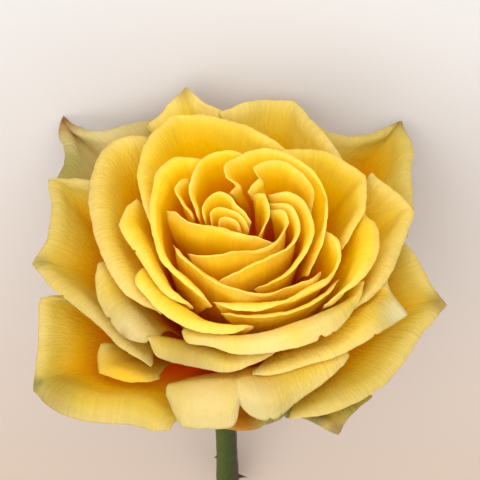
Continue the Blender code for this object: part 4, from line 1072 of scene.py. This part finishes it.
# The five sepals: turn about the stem, length, width, root and slopes as in the part.
sepalLook = {
    "seed": 70,
    "azimuths": (18, 90, 162, 234, 306),
    "length": 23.0,
    "width": 7.6,
    "outline": (0.72, 0.9, 0.9),  # width at the root, what it gains towards the tip, and the tip's curve
    "tipWidth": 0.7,
    "root": (10.5, -41.6),
    "slopes": (2, 14),
    "rows": 44,
    "columns": 17,
    "thickness": 0.8,
    "marginThickness": 0.25,
    "marginTaper": 0.8,
    "teeth": 0.35,          # how far the margin's small teeth stand out
    "toothLength": 2.6,
    "wave": 0.35,
    "waveLength": 9.0,
    "cup": 0.14,            # how far the margins bend up, as a share of the width
    "rib": 0.30,            # height of the middle rib under the blade
    "ribWidth": 0.12,
    "roughness": 0.7,
    "specular": 0.25,
    # distance from the margin in decimetres and the colour there
    "tones": ((0.0, "#8E9A58"), (0.004, "#5E7A2C"), (0.02, "#47641C"), (0.04, "#3A5614")),
    "veins": (60.0, 170.0, 1.0),  # veins about 1.7 by 0.6 mm: so many to a decimetre
    "veinShade": (0.8, 1.15),
    "bump": 0.2,
}


# Sepal: a leathery green blade, paler at its thin margin, with fine veins and a dull, slightly
# downy face.
def sepalMaterial():
    look = sepalLook
    material, tree, shader = startMaterial("downy_sepal", look["roughness"], look["specular"])
    place = addNode(tree, "ShaderNodeUVMap", {"uv_map": "petalMap"}).outputs["UV"]
    fromMargin = addNode(tree, "ShaderNodeSeparateXYZ", {}, {"Vector": place}).outputs["Y"]
    tone = addNode(tree, "ShaderNodeValToRGB", {"stops": look["tones"]}, {"Fac": fromMargin})
    stretched = addNode(tree, "ShaderNodeVectorMath", {"operation": "MULTIPLY"},
                        {0: place, 1: look["veins"]})
    veins = addNode(tree, "ShaderNodeTexNoise", {}, {"Vector": stretched.outputs[0], "Scale": 1.0,
                                                     "Detail": 4.0}).outputs["Fac"]
    dark, light = look["veinShade"]
    shade = addNode(tree, "ShaderNodeMapRange", {}, {"Value": veins, "From Min": 0.3, "From Max": 0.7,
                                                     "To Min": dark, "To Max": light})
    colour = addNode(tree, "ShaderNodeMix", {"data_type": "RGBA", "blend_type": "MULTIPLY"},
                     {"Factor": 1.0, "A": tone.outputs["Color"], "B": shade.outputs["Result"]})
    bump = addNode(tree, "ShaderNodeBump", {}, {"Height": veins, "Strength": 0.7,
                                                "Distance": look["bump"] * mm})
    tree.links.new(colour.outputs["Result"], shader.inputs["Base Color"])
    tree.links.new(bump.outputs["Normal"], shader.inputs["Normal"])
    return material


# Each sepal runs out from its root along a spine whose slope grows evenly. Across the spine it is
# cupped by the square of the way out to its margin, waved there, and ribbed along the middle.
def buildSepals():
    look = sepalLook
    material = sepalMaterial()
    up = np.array([0.0, 0.0, 1.0])
    share = np.linspace(0, 1, look["rows"])
    slope = np.radians(look["slopes"][0] + (look["slopes"][1] - look["slopes"][0]) * share)
    step = look["length"] / (look["rows"] - 1)
    reach = look["root"][0] + np.concatenate([[0], np.cumsum(np.cos(slope[:-1]))]) * step
    height = look["root"][1] + np.concatenate([[0], np.cumsum(np.sin(slope[:-1]))]) * step
    across = np.linspace(-1, 1, look["columns"])
    length = share * look["length"]
    along = np.repeat(length[:, None], len(across), axis=1)
    start, gain, curve = look["outline"]
    outline = look["width"] * (start + gain * share) * (1 - share) ** curve + look["tipWidth"]
    middle = (share * (1 - share) * 4)[:, None]
    rib = -look["rib"] * np.exp(-(across / look["ribWidth"]) ** 2)[None, :] * (1 - share)[:, None]
    for number, azimuth in enumerate(look["azimuths"]):
        random = np.random.default_rng(look["seed"] + number)
        turn = math.radians(azimuth)
        out = np.array([math.cos(turn), math.sin(turn), 0.0])
        side = np.array([-math.sin(turn), math.cos(turn), 0.0])
        width = outline + look["teeth"] * waves(length, look["toothLength"], 2, random) * (1 - share)
        width = width[:, None]
        wave = look["wave"] * waves(length, look["waveLength"], 2, random)[:, None] * across ** 2 * middle
        lift = look["cup"] * width * across ** 2 + wave + rib
        spine = out * reach[:, None] + up * height[:, None]
        sheet = spine[:, None] + side * (across * width / 2)[..., None] + up * lift[..., None]
        fromMargin = np.minimum((1 - np.abs(across)) * width / 2, (1 - share)[:, None] * look["length"])
        name = "sepal_%d" % (number + 1)
        piece = bladeObject(name + "_blade", sheet, thinned(look, fromMargin), fromMargin, along, None)
        piece.data.materials.append(material)
        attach(piece, "root")
        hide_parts(name)
    print("sepals:", len(look["azimuths"]))


# The table top that the rose lies on, and soft studio light: the key from above and the left, a
# fill from the right, and one from behind the bloom. Lengths in metres.
stageLook = {
    "floor": 3.0,
    "floorColours": ("#B09E90", "#BAB8B7"),  # near the stem's end and beyond the bloom
    "floorSpan": (-0.09, 0.09),
    "roughness": 0.95,
    "specular": 0.1,
    # power in watts, side and place
    "lamps": {"key": (5.9, 0.80, (-0.34, 0.16, 0.80)), "fill": (1.5, 0.9, (0.6, -0.4, 0.6)),
              "back": (5.2, 0.9, (0.08, 0.66, 0.45))},
    "world": ("#FFFAF4", 0.90),
}


# Matt card, plain, a little warmer and darker towards the stem's end.
def cardMaterial():
    look = stageLook
    material, tree, shader = startMaterial("pale_card", look["roughness"], look["specular"])
    solid = addNode(tree, "ShaderNodeTexCoord").outputs["Object"]
    parts = addNode(tree, "ShaderNodeSeparateXYZ", {}, {"Vector": solid})
    low, high = look["floorSpan"]
    share = addNode(tree, "ShaderNodeMapRange", {}, {"Value": parts.outputs["Y"], "From Min": low,
                                                     "From Max": high})
    near, beyond = look["floorColours"]
    tone = addNode(tree, "ShaderNodeMix", {"data_type": "RGBA"},
                   {"Factor": share.outputs["Result"], "A": (*linear(near), 1), "B": (*linear(beyond), 1)})
    tree.links.new(tone.outputs["Result"], shader.inputs["Base Color"])
    return material


# A square table top under the rose, with each lamp turned to face the middle of it.
def buildStage():
    look = stageLook
    half = look["floor"] / 2
    mesh = bpy.data.meshes.new("table_top")
    corners = [(-half, -half, 0), (half, -half, 0), (half, half, 0), (-half, half, 0)]
    mesh.from_pydata(corners, [], [(0, 1, 2, 3)])
    floor = linkedObject("table_top", mesh)
    floor.data.materials.append(cardMaterial())
    for name, (power, side, place) in look["lamps"].items():
        lamp = bpy.data.lights.new(name + "_light", "AREA")
        lamp.energy = power
        lamp.size = side
        holder = linkedObject(name + "_light", lamp)
        holder.location = place
        holder.rotation_euler = (-Vector(place)).to_track_quat("-Z", "Y").to_euler()
    world = bpy.data.worlds.new("studio")
    bpy.context.scene.world = world
    world.use_nodes = True
    colour, strength = look["world"]
    shade = world.node_tree.nodes["Background"]
    shade.inputs["Color"].default_value = (*linear(colour), 1)
    shade.inputs["Strength"].default_value = strength
    bpy.context.scene.view_settings.view_transform = "Standard"
    print("stage:", len(look["lamps"]), "lamps")


# The photograph's camera, seen in the upright bloom. Lengths in millimetres.
view = {
    "rise": 55.0,           # degrees that the line of sight rises from level
    "distance": 700.0,
    "across": 1.3,          # where it looks, to the right and up from the bloom's middle
    "up": 2.6,
    "pixel": 0.26,          # so much of the bloom shows in one pixel
    "frame": 480,           # pixels
    "sensor": 36.0,
}


# The camera stands off along the line of sight, and its lens is as much longer than its sensor
# as the distance is than the width that the frame shows there.
def buildCamera():
    rise = math.radians(view["rise"])
    toward = np.array([0, -math.cos(rise), math.sin(rise)])
    up = np.array([0, math.sin(rise), math.cos(rise)])
    right = np.array([1.0, 0, 0])
    eye = right * view["across"] + up * view["up"] + toward * view["distance"]
    axes = lieTurn @ np.stack([right, up, toward], axis=1)
    camera = linkedObject("camera", bpy.data.cameras.new("camera"))
    camera.data.sensor_width = view["sensor"]
    camera.data.lens = view["sensor"] * view["distance"] / (view["pixel"] * view["frame"])
    camera.matrix_world = Matrix.Translation(laidDown(eye)) @ Matrix(axes.tolist()).to_4x4()
    bpy.context.scene.camera = camera


sheets = settledSheets()
lieTurn, lieShift = lyingPlace(sheets)
print("placed:", [round(float(v), 5) for v in lieShift])
buildCamera()
buildStage()
buildPetals(sheets)
stemPiece = buildStem()
stemPiece.data.materials.append(stemMaterial())
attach(stemPiece, "root")
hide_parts("stem_and_hip")
buildSepals()
